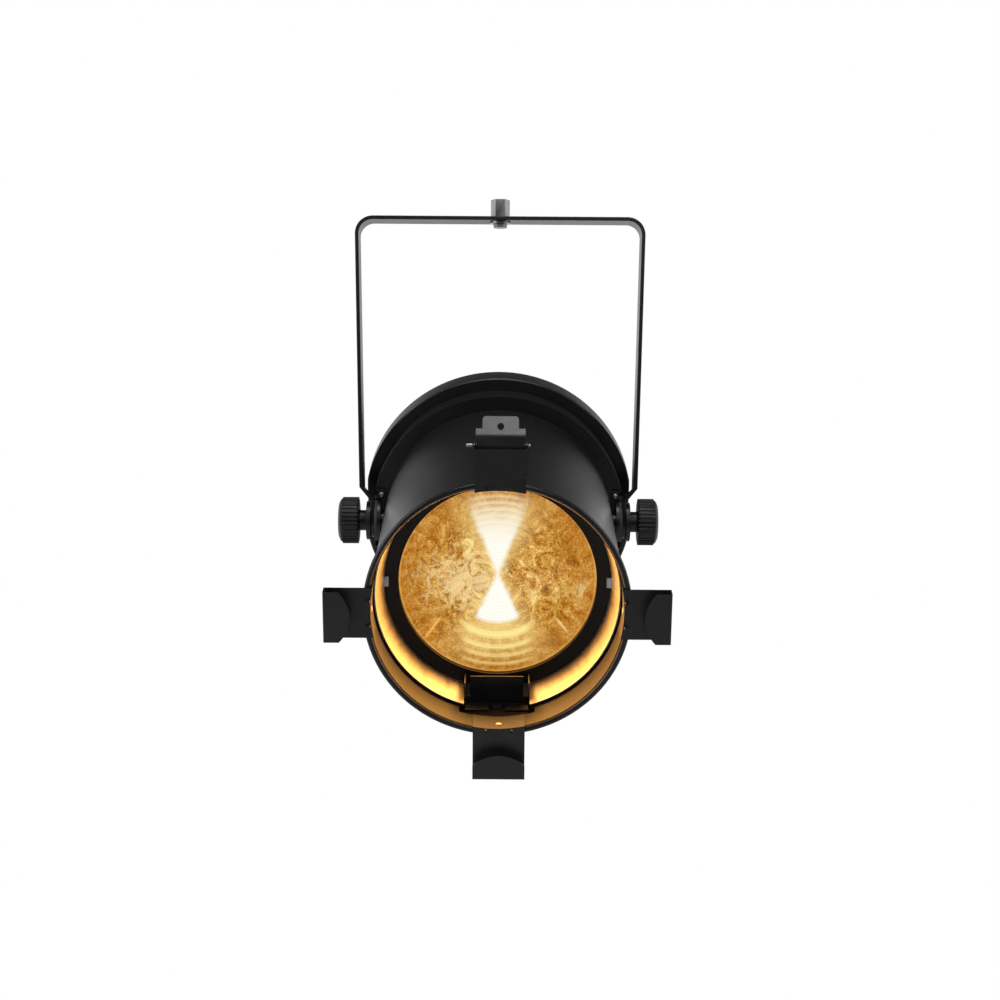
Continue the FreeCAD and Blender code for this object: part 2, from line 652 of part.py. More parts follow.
ring_back = ring_front + ring_depth
ring_inner = ring_radius - ring_wall
recess_floor = bracket_face - bracket_gap
front_ring = new_body("front_ring", "lamp")
sketch = new_sketch(front_ring, "YZ_Plane")
outline(sketch, [(ring_front, tube_radius), (ring_front, ring_radius), (ring_back, ring_radius),
                 (ring_back, flange_hole), (ring_back - ring_wall, flange_hole),
                 (ring_back - ring_wall, ring_inner), (tube_back, ring_inner), (tube_back, tube_radius)])
revolve(front_ring, sketch)
boss_outer = root(ring_radius * ring_radius - recess_half * recess_half) - bracket_gap
sketch = new_sketch(front_ring, "YZ_Plane", boss_half)
rectangle(sketch, tube_back - 1, ring_back - 1, -recess_half, recess_half)
boss = pad(front_ring, sketch, boss_outer - boss_half)
mirror(front_ring, boss)
sketch = new_sketch(front_ring, "YZ_Plane", recess_floor)
circle(sketch, (0, 0), recess_radius)
recess = pocket(front_ring, sketch, 20, reverse=True)
mirror(front_ring, recess)
sketch = new_sketch(front_ring, "YZ_Plane", bracket_inner - bracket_gap)
circle(sketch, (0, 0), bush_radius + 0.3)
bush_room = pocket(front_ring, sketch, bush_length + 0.3, reverse=True)
mirror(front_ring, bush_room)
sketch = new_sketch(front_ring, "XZ_Plane", -ring_front)
for across in (screw_across, -screw_across):
    for rise in (bracket_screw_rise, -bracket_screw_rise):
        circle(sketch, (across, rise), screw_radius)
pocket(front_ring, sketch, screw_depth)

# ---------------------------------------------------------------- rear housing: drum, shoulder, barrel

drum_front = ring_back
drum_back = drum_front + drum_depth
barrel_front = drum_back + shoulder_length
barrel_back = barrel_front + barrel_length
barrel_inner = barrel_radius - barrel_wall
rear_housing = new_body("rear_housing", "lamp")
sketch = new_sketch(rear_housing, "YZ_Plane", 0, drum_rise)
outline(sketch, [(drum_front, flange_hole), (drum_front, drum_radius - drum_bevel),
                 (drum_front + drum_bevel, drum_radius), (drum_back - drum_bevel, drum_radius),
                 (drum_back, drum_radius - drum_bevel), (barrel_front, barrel_radius),
                 (barrel_back, barrel_radius), (barrel_back, barrel_inner),
                 (barrel_front, barrel_inner), (drum_back, drum_radius - drum_wall),
                 (drum_front + flange_thick, drum_radius - drum_wall),
                 (drum_front + flange_thick, flange_hole)])
revolve(rear_housing, sketch)
sketch = new_sketch(rear_housing, "YZ_Plane", drum_flat_half)
rectangle(sketch, drum_front - 1, barrel_front, -drum_radius / 2, drum_radius / 2)
flat = pocket(rear_housing, sketch, 10, reverse=True)
mirror(rear_housing, flat)
sketch = new_sketch(rear_housing, "YZ_Plane", swing_half)
circle(sketch, (0, 0), swing_radius)
swing = pocket(rear_housing, sketch, 10, reverse=True)
mirror(rear_housing, swing)
vent_front = barrel_front + vent_start
sketch = new_sketch(rear_housing, "XY_Plane", drum_rise)
round_slot(sketch, vent_width / 2, vent_front, vent_front + vent_length)
slot = pocket(rear_housing, sketch, barrel_radius + 5, reverse=True)
repeat_round(rear_housing, [slot], (sketch, "V_Axis"), int(vent_count.value))

# ---------------------------------------------------------------- clips and catch for the gel frame

plate_back = rim_y - plate_gap
plate_front = plate_back - sheet_thick
lip_back = plate_front - clip_depth
lip_front = lip_back - sheet_thick
foot_outer = tube_inner
foot_inner_radius = foot_outer - sheet_thick


def height_on(radius, across):
    return root(radius * radius - across * across)


def clip_base(body, half, aside, plate_reach):
    """The curved foot inside the tube, its rivet hole, the plate before the rim and two gussets."""
    left = aside - half
    right = aside + half
    inner = [(left, height_on(foot_inner_radius, left), -foot_inner_radius),
             (right, height_on(foot_inner_radius, right))]
    sketch = new_sketch(body, "XZ_Plane", -(rim_y + foot_length))
    outline(sketch, inner + [(right, height_on(foot_outer, right), foot_outer),
                             (left, height_on(foot_outer, left))])
    pad(body, sketch, foot_length + plate_gap + sheet_thick)
    sketch = new_sketch(body, "XZ_Plane", -plate_back)
    outline(sketch, inner + [(right, plate_reach), (left, plate_reach)])
    pad(body, sketch, sheet_thick)
    for across in (aside + gusset_half, aside - gusset_half):
        sketch = new_sketch(body, "YZ_Plane", across)
        base = foot_outer - sheet_thick / 2
        outline(sketch, [(plate_front + 0.1, base + gusset_size), (plate_front + 0.1 - gusset_size, base),
                         (plate_front + 0.1, base - 0.5)])
        pad(body, sketch, gusset_thick, midplane=True)
    sketch = new_sketch(body, "XY_Plane")
    circle(sketch, (aside, rivet_y), rivet_radius)
    pocket(body, sketch, foot_outer + 5, reverse=True)


def gel_clip(name, turn, drop, aside):
    """Fixed channel clip: plate, outer wall and a lip with a bowed edge, drawn pointing up."""
    body = new_body(name, "lamp", turn)
    half = clip_width / 2
    left = aside - half
    right = aside + half
    wall_inner = gel_half + gel_play + drop
    wall_outer = wall_inner + sheet_thick
    clip_base(body, half, aside, wall_outer)
    sketch = new_sketch(body, "XZ_Plane", -plate_front)
    rectangle(sketch, left, right, wall_inner, wall_outer)
    pad(body, sketch, clip_depth)
    bow = lip_middle - lip_side
    bow_radius = (half * half + bow * bow) / (2 * bow)
    sketch = new_sketch(body, "XZ_Plane", -lip_back)
    outline(sketch, [(left, wall_outer - lip_side, bow_radius), (right, wall_outer - lip_side),
                     (right, wall_outer), (left, wall_outer)])
    pad(body, sketch, sheet_thick)
    corners = edges_near(body, lambda p, e: abs(p.z - wall_outer.value) < 0.05
                         and abs(p.x) < clip_width.value / 4 and abs(p.y - lip_front.value) < 0.05)
    soften(body, "Fillet", corners, wall_round)


gel_clip("clip_left", 90, 0, clip_down)
gel_clip("clip_right", -90, 0, -clip_down)
gel_clip("clip_bottom", 180, gel_drop, -clip_aside)

ear_top = gel_half + ear_above_gel
lever_top = gel_half + lever_above_gel
lever_bottom = gel_half - lever_below_gel
pin_y = plate_front - pin_back
pin_z = lever_top + pin_rise
catch_half = catch_width / 2
ear_low = gel_half - lever_gap
catch_bracket = new_body("catch_bracket", "lamp")
clip_base(catch_bracket, catch_half, clip_aside, ear_top)
for across in (clip_aside + catch_half - sheet_thick, clip_aside - catch_half):
    sketch = new_sketch(catch_bracket, "YZ_Plane", across)
    rectangle(sketch, plate_front - ear_reach, plate_front + 0.1, ear_low, ear_top)
    pad(catch_bracket, sketch, sheet_thick)
sketch = new_sketch(catch_bracket, "YZ_Plane", clip_aside)
circle(sketch, (pin_y, pin_z), pin_radius)
pocket(catch_bracket, sketch, clip_width + 5, midplane=True)

catch_pin = new_body("catch_pin", "lamp")
sketch = new_sketch(catch_pin, "YZ_Plane", clip_aside - lever_half - pin_stub)
circle(sketch, (pin_y, pin_z), pin_radius)
pad(catch_pin, sketch, lever_half * 2 + pin_stub + 1)

lever_front = lip_front - lever_gap
lever_back = lever_front + sheet_thick
lever_left = clip_aside - lever_half
lever_right = clip_aside + lever_half
riser_back = lever_front + web_depth
riser_top = lever_top + riser_height
catch_lever = new_body("catch_lever", "lamp")
sketch = new_sketch(catch_lever, "XZ_Plane", -lever_back)
outline(sketch, [(lever_left, lever_top), (lever_left, lever_bottom + lever_corner, lever_corner),
                 (lever_left + lever_corner, lever_bottom),
                 (lever_right - lever_corner, lever_bottom, lever_corner),
                 (lever_right, lever_bottom + lever_corner), (lever_right, lever_top)])
pad(catch_lever, sketch, sheet_thick)
sketch = new_sketch(catch_lever, "XZ_Plane", -riser_back)
rectangle(sketch, lever_left, lever_right, lever_top - sheet_thick, lever_top)
pad(catch_lever, sketch, web_depth - sheet_thick / 2)
sketch = new_sketch(catch_lever, "XZ_Plane", -riser_back)
rectangle(sketch, clip_aside - riser_half, clip_aside + riser_half, lever_top - sheet_thick / 2, riser_top)
pad(catch_lever, sketch, sheet_thick)
run = sine(tab_lean)
lift = cosine(tab_lean)
sketch = new_sketch(catch_lever, "YZ_Plane", clip_aside)
outline(sketch, [(riser_back - sheet_thick, riser_top - 0.8), (riser_back, riser_top - 0.8),
                 (riser_back + tab_length * run, riser_top + tab_length * lift),
                 (riser_back + tab_length * run - sheet_thick * lift,
                  riser_top + tab_length * lift + sheet_thick * run)])
pad(catch_lever, sketch, tab_half * 2, midplane=True)
sketch = new_sketch(catch_lever, "XZ_Plane", -(riser_back + 10))
shoulder_z = riser_top + tab_shoulder
tab_end = riser_top + tab_length * lift + 1
for side in (-1, 1):
    inner = clip_aside + side * tab_top_half
    outer = clip_aside + side * (tab_half + 3)
    turn_in = inner - side * tab_corner
    bend = -side * tab_corner
    outline(sketch, [(outer, shoulder_z), (inner, shoulder_z), (inner, tab_end - tab_corner - 0.5, -bend),
                     (turn_in, tab_end - 0.5), (turn_in, tab_end + 1), (outer, tab_end + 1)])
circle(sketch, (clip_aside, riser_top + tab_length * tab_hole_place), tab_hole)
pocket(catch_lever, sketch, 20, reverse=True)
flange_low = lever_bottom + lever_corner
for across in (lever_right - sheet_thick, lever_left):
    sketch = new_sketch(catch_lever, "YZ_Plane", across)
    outline(sketch, [(lever_back - joint_lap, flange_low), (lever_back + flange_depth, flange_low + 1),
                     (lever_back + flange_depth, ear_low), (pin_y + eye_rim, ear_low),
                     (pin_y + eye_rim, ear_top - lever_gap), (lever_back - joint_lap, ear_top - lever_gap)])
    pad(catch_lever, sketch, sheet_thick)
sketch = new_sketch(catch_lever, "YZ_Plane", clip_aside)
circle(sketch, (pin_y, pin_z), pin_radius + shaft_play)
pocket(catch_lever, sketch, lever_half * 2 + 5, midplane=True)

catch_spring = new_body("catch_spring", "lamp")
sketch = new_sketch(catch_spring, "XZ_Plane", -pin_y, pin_z)
spring_half = spring_turns * spring_pitch / 2
circle(sketch, (clip_aside - spring_half, spring_radius), spring_wire)
coil = catch_spring.newObject("PartDesign::AdditiveHelix", "catch_spring_coil")
coil.Profile = sketch
coil.ReferenceAxis = (sketch, ["H_Axis"])
coil.Mode = 0
bind(coil, "Pitch", spring_pitch)
bind(coil, "Height", spring_turns * spring_pitch)
doc.recompute()

clip_rivets = new_body("clip_rivets", "lamp")


def rivet(role, sign, across):
    """One domed-over rivet, standing off an origin plane; sign says on which side of it."""
    head_top = height_on(foot_inner_radius, clip_aside + rivet_head_radius)
    spans = [(head_top - rivet_head_thick, rivet_head_thick, rivet_head_radius),
             (head_top - joint_lap, tube_radius - head_top + joint_lap * 2, rivet_radius),
             (tube_radius, rivet_head_thick, rivet_head_radius)]
    for start, length, radius in spans:
        sketch = new_sketch(clip_rivets, role, start if sign > 0 else -start)
        circle(sketch, (across, rivet_y) if role == "XY_Plane" else (rivet_y, across), radius)
        pad(clip_rivets, sketch, length, reverse=sign < 0)


for sign in (1, -1):
    rivet("XY_Plane", sign, clip_aside)
    rivet("YZ_Plane", sign, -clip_down)

# ---------------------------------------------------------------- lens carriage

sleeve_outer = tube_radius - sleeve_play
sleeve_inner = sleeve_outer - sleeve_wall
seat_radius = sleeve_outer - seat_inset
holder_inner = seat_radius - holder_lip
lens_radius = seat_radius - lens_inset
base_depth = tube_radius
web_top = base_depth - web_height
sleeve_y = rim_y + sleeve_front
sleeve_back = sleeve_y + sleeve_length
holder_y = rim_y + holder_front
carriage_sleeve = new_body("carriage_sleeve", "lamp")
sketch = new_sketch(carriage_sleeve, "YZ_Plane")
outline(sketch, [(sleeve_y, sleeve_inner), (holder_y, seat_radius), (sleeve_back, seat_radius),
                 (sleeve_back, sleeve_outer), (sleeve_back - sleeve_wall, sleeve_outer),
                 (sleeve_back - sleeve_wall, seat_radius + sleeve_wall),
                 (holder_y, seat_radius + sleeve_wall),
                 (sleeve_y, sleeve_outer)])
revolve(carriage_sleeve, sketch)
sketch = new_sketch(carriage_sleeve, "XY_Plane")
rectangle(sketch, -bracket_half, bracket_half, sleeve_y - 1, sleeve_back + 1)
pocket(carriage_sleeve, sketch, sleeve_outer + 5)
sketch = new_sketch(carriage_sleeve, "XZ_Plane", -holder_y)
tab_inside = seat_radius - sleeve_tab_reach
tab_outside = seat_radius + sleeve_wall / 2
rectangle(sketch, tab_inside, tab_outside, -sleeve_tab_half, sleeve_tab_half)
rectangle(sketch, -tab_outside, -tab_inside, -sleeve_tab_half, sleeve_tab_half)
pad(carriage_sleeve, sketch, sleeve_tab_thick)

lens_front = holder_y + holder_depth
lens_ring = new_body("lens_ring", "lamp")
sketch = new_sketch(lens_ring, "YZ_Plane")
lip_outer = holder_inner + sheet_thick
outline(sketch, [(holder_y, holder_inner), (lens_front, holder_inner), (lens_front, lip_outer),
                 (holder_y + sheet_thick, lip_outer), (holder_y + sheet_thick, seat_radius),
                 (holder_y, seat_radius)])
revolve(lens_ring, sketch)

lens_back = lens_front + lens_thick
fresnel_lens = new_body("fresnel_lens", "lamp")
sketch = new_sketch(fresnel_lens, "YZ_Plane")
ring_pitch = holder_inner / lens_rings
profile = [(lens_back, 0), (lens_front, 0)]
for ring in range(1, int(lens_rings.value) + 1):
    edge = ring_pitch * ring
    profile.append((lens_front + lens_step, edge))
    profile.append((lens_front, edge + 0.01))
profile[-1] = (lens_front, holder_inner)
profile[-2] = (lens_front + lens_step, holder_inner - 0.4)
profile += [(lens_front, lens_radius), (lens_back, lens_radius)]
outline(sketch, profile)
revolve(fresnel_lens, sketch)

lens_retainer = tube_piece("lens_retainer", "lamp", lens_back, lens_back + sheet_thick,
                           seat_radius, lens_radius - 3)

base_y = rim_y + base_front
base_back = base_y + base_length
web_y = rim_y + web_front
zoom_bracket = new_body("zoom_bracket", "lamp")
sketch = new_sketch(zoom_bracket, "XY_Plane", -base_depth)
outline(sketch, [(-bracket_half, base_y), (-notch_half, base_y), (-notch_half, base_y + notch_depth),
                 (notch_half, base_y + notch_depth), (notch_half, base_y), (bracket_half, base_y),
                 (bracket_half, base_back), (-bracket_half, base_back)])
pad(zoom_bracket, sketch, sheet_thick, reverse=True)
sketch = new_sketch(zoom_bracket, "XZ_Plane", -(web_y + sheet_thick))
web_low = -base_depth - joint_lap
rectangle(sketch, -web_half, web_half, web_low, -web_top)
pad(zoom_bracket, sketch, sheet_thick)
ear_y = base_y + ear_inset
ear_high = -(web_top + ear_drop)
for left in (-bracket_half, bracket_half - sheet_thick):
    sketch = new_sketch(zoom_bracket, "YZ_Plane", left)
    outline(sketch, [(ear_y, web_low), (base_back, web_low), (base_back, ear_high),
                     (ear_y + ear_slant, ear_high), (ear_y, ear_high - ear_slant)])
    pad(zoom_bracket, sketch, sheet_thick)
corner_inside = web_half - joint_lap
corner_outside = bracket_half - joint_lap
for left, right in ((-corner_outside, -corner_inside), (corner_inside, corner_outside)):
    sketch = new_sketch(zoom_bracket, "XZ_Plane", -(web_y + sheet_thick))
    rectangle(sketch, left, right, web_low, -(base_depth - web_corner))
    pad(zoom_bracket, sketch, sheet_thick)
sketch = new_sketch(zoom_bracket, "XY_Plane", -base_depth + 1)
screw_y = rim_y + zoom_screw_y
circle(sketch, (0, screw_y), zoom_screw_radius + shaft_play)
pocket(zoom_bracket, sketch, sheet_thick + 3)

zoom_nut = new_body("zoom_nut", "lamp")
sketch = new_sketch(zoom_nut, "XY_Plane", -base_depth)
hexagon(sketch, (0, screw_y), nut_radius * 2 - 1)
circle(sketch, (0, screw_y), zoom_screw_radius + shaft_play)
pad(zoom_nut, sketch, nut_thick)

# ---------------------------------------------------------------- zoom channel and locking knob

channel_floor = base_depth + sheet_thick + channel_play
channel_y = opening_y - 2
channel_back = opening_y + opening_length + 2
channel_outer = channel_half + channel_wall
zoom_channel = new_body("zoom_channel", "lamp")
outer_drop = root(tube_radius * tube_radius - channel_outer * channel_outer)
sketch = new_sketch(zoom_channel, "XZ_Plane", -channel_back)
outline(sketch, [(-channel_outer, -outer_drop), (-channel_outer, -(channel_floor + channel_wall)),
                 (channel_outer, -(channel_floor + channel_wall)),
                 (channel_outer, -outer_drop, -tube_radius)])
pad(zoom_channel, sketch, channel_back - channel_y)
sketch = new_sketch(zoom_channel, "XY_Plane", -channel_floor)
rectangle(sketch, -channel_half, channel_half, channel_y + channel_wall, channel_back - channel_wall)
pocket(zoom_channel, sketch, channel_floor, reverse=True)
sketch = new_sketch(zoom_channel, "XY_Plane", -channel_floor + 1)
slot_half = zoom_screw_radius + 0.5
slot_front_y = screw_y - slot_front_travel - slot_half
slot_back_y = screw_y + slot_back_travel + slot_half
round_slot(sketch, slot_half, slot_front_y, slot_back_y)
pocket(zoom_channel, sketch, channel_wall + 3)

knob_top = -(channel_floor + channel_wall + 0.3)
grip_top = knob_top - zoom_neck_length
zoom_knob = new_body("zoom_knob", "lamp")
sketch = new_sketch(zoom_knob, "XY_Plane", knob_top)
circle(sketch, (0, screw_y), zoom_neck_radius)
pad(zoom_knob, sketch, zoom_neck_length, reverse=True)
sketch = new_sketch(zoom_knob, "XY_Plane", grip_top)
circle(sketch, (0, screw_y), zoom_knob_radius)
pad(zoom_knob, sketch, zoom_knob_length, reverse=True)
bottom = (grip_top - zoom_knob_length).value
edges = edges_near(zoom_knob, lambda p, e: abs(p.z - bottom) < 0.1)
soften(zoom_knob, "Chamfer", edges, zoom_knob_bevel)
sketch = new_sketch(zoom_knob, "XY_Plane", knob_top + 1)
circle(sketch, (0, screw_y), zoom_screw_radius)
pocket(zoom_knob, sketch, zoom_neck_length + zoom_screw_grip + 1)

zoom_screw = new_body("zoom_screw", "lamp")
screw_bottom = knob_top - zoom_neck_length - zoom_screw_grip
sketch = new_sketch(zoom_screw, "XY_Plane", screw_bottom)
circle(sketch, (0, screw_y), zoom_screw_radius)
pad(zoom_screw, sketch, -base_depth + nut_thick + zoom_screw_spare - screw_bottom)

# ---------------------------------------------------------------- light engine

sink_front = drum_front + flange_thick
heat_sink = tube_piece("heat_sink", "lamp", sink_front, sink_front + sink_base, sink_radius, None)
sketch = new_sketch(heat_sink, "XZ_Plane", -(sink_front + sink_base + fin_length))
circle(sketch, (0, 0), fin_inner + 2)
pad(heat_sink, sketch, fin_length + 1)
sketch = new_sketch(heat_sink, "XZ_Plane", -(sink_front + sink_base + fin_length))
rectangle(sketch, -fin_thick / 2, fin_thick / 2, fin_inner, fin_outer)
fin = pad(heat_sink, sketch, fin_length + 1)
repeat_round(heat_sink, [fin], (sketch, "N_Axis"), int(fin_count.value))

board_front = sink_front - board_thick
block("led_board", "lamp", -board_half, board_half, board_front, sink_front, -board_half, board_half)
emitter_front = board_front - emitter_height
tube_piece("led_emitter", "lamp", emitter_front, board_front, emitter_radius, None)
led_holder_front = board_front - holder_height
tube_piece("led_holder", "lamp", led_holder_front, board_front, holder_radius, holder_hole)
reflector = new_body("reflector", "lamp")
mouth_y = led_holder_front - reflector_length
sketch = new_sketch(reflector, "YZ_Plane")
outline(sketch, [(led_holder_front, holder_hole), (led_holder_front, holder_hole + reflector_wall),
                 (mouth_y, reflector_mouth + reflector_wall), (mouth_y, reflector_mouth)])
revolve(reflector, sketch)
baffle_front = tube_back + tube_wall - baffle_thick * 3
tube_piece("light_baffle", "lamp", baffle_front, baffle_front + baffle_thick,
           tube_inner, reflector_mouth + reflector_wall * 1.5)

# ---------------------------------------------------------------- fan behind the heat sink

fan_front = sink_front + sink_base + fin_length + fan_gap
fan_back = fan_front + fan_depth
fan_frame = block("fan_frame", "lamp", -fan_half, fan_half, fan_front, fan_back, -fan_half, fan_half)
sketch = new_sketch(fan_frame, "XZ_Plane", -fan_back - 1)
circle(sketch, (0, 0), fan_hole)
pocket(fan_frame, sketch, fan_depth + 2, reverse=True)
sketch = new_sketch(fan_frame, "XZ_Plane", -fan_back)
circle(sketch, (0, 0), hub_radius)
pad(fan_frame, sketch, strut_thick)
sketch = new_sketch(fan_frame, "XZ_Plane", -fan_back)
rectangle(sketch, -strut_half, strut_half, -fan_hole - 1, fan_hole + 1)
strut = pad(fan_frame, sketch, strut_thick)
repeat_round(fan_frame, [strut], (sketch, "N_Axis"), 2, 90)
sketch = new_sketch(fan_frame, "XZ_Plane", -fan_back)
circle(sketch, (0, 0), fan_axle_radius)
pad(fan_frame, sketch, fan_axle_length)

rotor_back = fan_back - rotor_gap
fan_rotor = tube_piece("fan_rotor", "lamp", rotor_back - hub_length, rotor_back, hub_radius,
                       fan_axle_radius + shaft_play)
sketch = new_sketch(fan_rotor, "XY_Plane", hub_radius - 1)
blade_front = rotor_back - hub_length + blade_inset
blade_back = rotor_back - blade_inset
outline(sketch, [(-blade_sweep_half, blade_front), (blade_thick - blade_sweep_half, blade_front),
                 (blade_sweep_half, blade_back), (blade_sweep_half - blade_thick, blade_back)])
blade = pad(fan_rotor, sketch, fan_hole - blade_clearance - hub_radius)
repeat_round(fan_rotor, [blade], (origin_part(fan_rotor, "Y_Axis"), ""), int(blade_count.value))

# ---------------------------------------------------------------- driver board and its parts

supply_low = drum_rise - supply_height / 2
supply_front = supply_y - supply_thick
block("supply_board", "lamp", -supply_half, supply_half, supply_front, supply_y,
      supply_low, supply_low + supply_height)
coil_bottom = supply_low + coil_low
block("supply_coil", "lamp", coil_left, coil_left + coil_width, supply_front - coil_depth, supply_front,
      coil_bottom, coil_bottom + coil_height)
supply_capacitors = new_body("supply_capacitors", "lamp")
sketch = new_sketch(supply_capacitors, "XZ_Plane", -supply_front)
for index in range(3):
    across = capacitor_first + capacitor_pitch * index
    circle(sketch, (across, supply_low + capacitor_rise), capacitor_radius)
pad(supply_capacitors, sketch, capacitor_height)

# ---------------------------------------------------------------- rear panel with controls and sockets

panel_back = barrel_back - panel_recess
panel_front = panel_back - panel_thick
panel_radius = barrel_inner - panel_play
rear_panel = tube_piece("rear_panel", "lamp", panel_front, panel_back, panel_radius, None, drum_rise)
holes = new_sketch(rear_panel, "XZ_Plane", -panel_back, drum_rise)
for side in (-1, 1):
    circle(holes, (side * socket_across, power_rise), power_radius)
    circle(holes, (side * socket_across, data_rise), data_radius)
circle(holes, (0, power_rise), fuse_radius)
rectangle(holes, -display_half, display_half, display_low, display_high)
for index in range(4):
    across = (index - 1.5) * button_pitch
    circle(holes, (across, button_rise), button_radius + button_play)
pocket(rear_panel, holes, panel_thick + 1, reverse=True)


def socket(name, side, rise, radius, bore):
    """Chassis connector: a barrel through the panel with a square front flange."""
    across = side * socket_across
    body = new_body(name, "lamp")
    sketch = new_sketch(body, "XZ_Plane", -(panel_back + socket_proud), drum_rise)
    rectangle(sketch, across - flange_half, across + flange_half, rise - flange_half, rise + flange_half)
    pad(body, sketch, socket_proud)
    sketch = new_sketch(body, "XZ_Plane", -panel_back, drum_rise)
    circle(sketch, (across, rise), radius)
    pad(body, sketch, socket_length)
    sketch = new_sketch(body, "XZ_Plane", -(panel_back + socket_proud), drum_rise)
    circle(sketch, (across, rise), bore)
    pocket(body, sketch, socket_depth, reverse=True)


socket("power_inlet", -1, power_rise, power_radius, power_bore)
socket("power_outlet", 1, power_rise, power_radius, power_bore)
socket("data_input", -1, data_rise, data_radius, data_bore)
socket("data_output", 1, data_rise, data_radius, data_bore)

fuse_holder = new_body("fuse_holder", "lamp")
sketch = new_sketch(fuse_holder, "XZ_Plane", -panel_back, drum_rise)
circle(sketch, (0, power_rise), fuse_radius)
pad(fuse_holder, sketch, fuse_depth)
sketch = new_sketch(fuse_holder, "XZ_Plane", -(panel_back + fuse_rim), drum_rise)
circle(sketch, (0, power_rise), fuse_radius + fuse_rim_width)
pad(fuse_holder, sketch, fuse_rim)
sketch = new_sketch(fuse_holder, "XZ_Plane", -(panel_back + fuse_rim), drum_rise)
circle(sketch, (0, power_rise), fuse_bore)
pocket(fuse_holder, sketch, fuse_depth - fuse_rim_width, reverse=True)

fuse_cap = new_body("fuse_cap", "lamp")
cap_back = panel_back + fuse_rim + shaft_play + fuse_cap_length
sketch = new_sketch(fuse_cap, "XZ_Plane", -cap_back, drum_rise)
circle(sketch, (0, power_rise), fuse_radius)
pad(fuse_cap, sketch, fuse_cap_length)
sketch = new_sketch(fuse_cap, "XZ_Plane", -(cap_back - 1), drum_rise)
circle(sketch, (0, power_rise), fuse_bore - shaft_play)
pad(fuse_cap, sketch, fuse_cap_length + fuse_stem)
sketch = new_sketch(fuse_cap, "XZ_Plane", -cap_back, drum_rise)
rectangle(sketch, -fuse_radius, fuse_radius, power_rise - coin_slot_half, power_rise + coin_slot_half)
pocket(fuse_cap, sketch, coin_slot_depth, reverse=True)

window = new_body("display_window", "lamp")
sketch = new_sketch(window, "XZ_Plane", -(panel_back + window_proud), drum_rise)
rectangle(sketch, -display_half, display_half, display_low, display_high)
pad(window, sketch, panel_thick)

control_y = panel_front - control_gap
block("control_board", "lamp", -control_half, control_half, control_y - control_thick, control_y,
      drum_rise + button_rise - button_radius * 2, drum_rise + display_high + panel_thick)

for index, name in enumerate(("button_menu", "button_down", "button_up", "button_enter")):
    across = (index - 1.5) * button_pitch
    button = new_body(name, "lamp")
    sketch = new_sketch(button, "XZ_Plane", -(panel_back + button_proud), drum_rise)
    circle(sketch, (across, button_rise), button_radius)
    pad(button, sketch, button_proud + panel_thick + 1)
    sketch = new_sketch(button, "XZ_Plane", -(panel_front - panel_play), drum_rise)
    circle(sketch, (across, button_rise), button_radius + button_collar)
    pad(button, sketch, button_collar_length)

safety_eye = new_body("safety_eye", "lamp")
sketch = new_sketch(safety_eye, "XZ_Plane", -(panel_back + eye_plate_thick), drum_rise)
rectangle(sketch, -eye_half - eye_plate_margin, eye_half + eye_plate_margin,
          eye_rise - eye_plate_margin, eye_rise + eye_plate_margin)
pad(safety_eye, sketch, eye_plate_thick)
sketch = new_sketch(safety_eye, "XY_Plane", drum_rise + eye_rise - eye_wire)
eye_y = panel_back + eye_plate_thick / 2
outer = eye_half + eye_wire
inner = eye_half - eye_wire
bend_y = eye_y + eye_reach - eye_half
outline(sketch, [(outer, eye_y), (outer, bend_y, outer), (0, bend_y + outer, outer), (-outer, bend_y),
                 (-outer, eye_y), (-inner, eye_y), (-inner, bend_y, -inner), (0, bend_y + inner, -inner),
                 (inner, bend_y), (inner, eye_y)])
pad(safety_eye, sketch, eye_wire * 2)

panel_screws = new_body("panel_screws", "lamp")
sketch = new_sketch(panel_screws, "XZ_Plane", -(panel_back + screw_head_thick), drum_rise)
circle(sketch, (0, barrel_inner - panel_screw_inset), panel_screw_head)
panel_head = pad(panel_screws, sketch, screw_head_thick)
repeat_round(panel_screws, [panel_head], (sketch, "N_Axis"), int(panel_screw_count.value))

# ---------------------------------------------------------------- checks, then one file for each piece

doc.recompute()
for item in doc.Objects:
    if any(word in item.State for word in ("Invalid", "Error")):
        raise RuntimeError("%s is not built: %s" % (item.Name, item.State))
os.makedirs("parts", exist_ok=True)
for piece in pieces:
    if piece.Shape.isNull() or not piece.Shape.isValid():
        raise RuntimeError("%s has no valid shape" % piece.Label)
    piece.Shape.exportStep("parts/%s.step" % piece.Label)
print(len(pieces), "pieces written")
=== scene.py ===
import bpy
import bmesh
import json
import math
from mathutils import Matrix, Vector


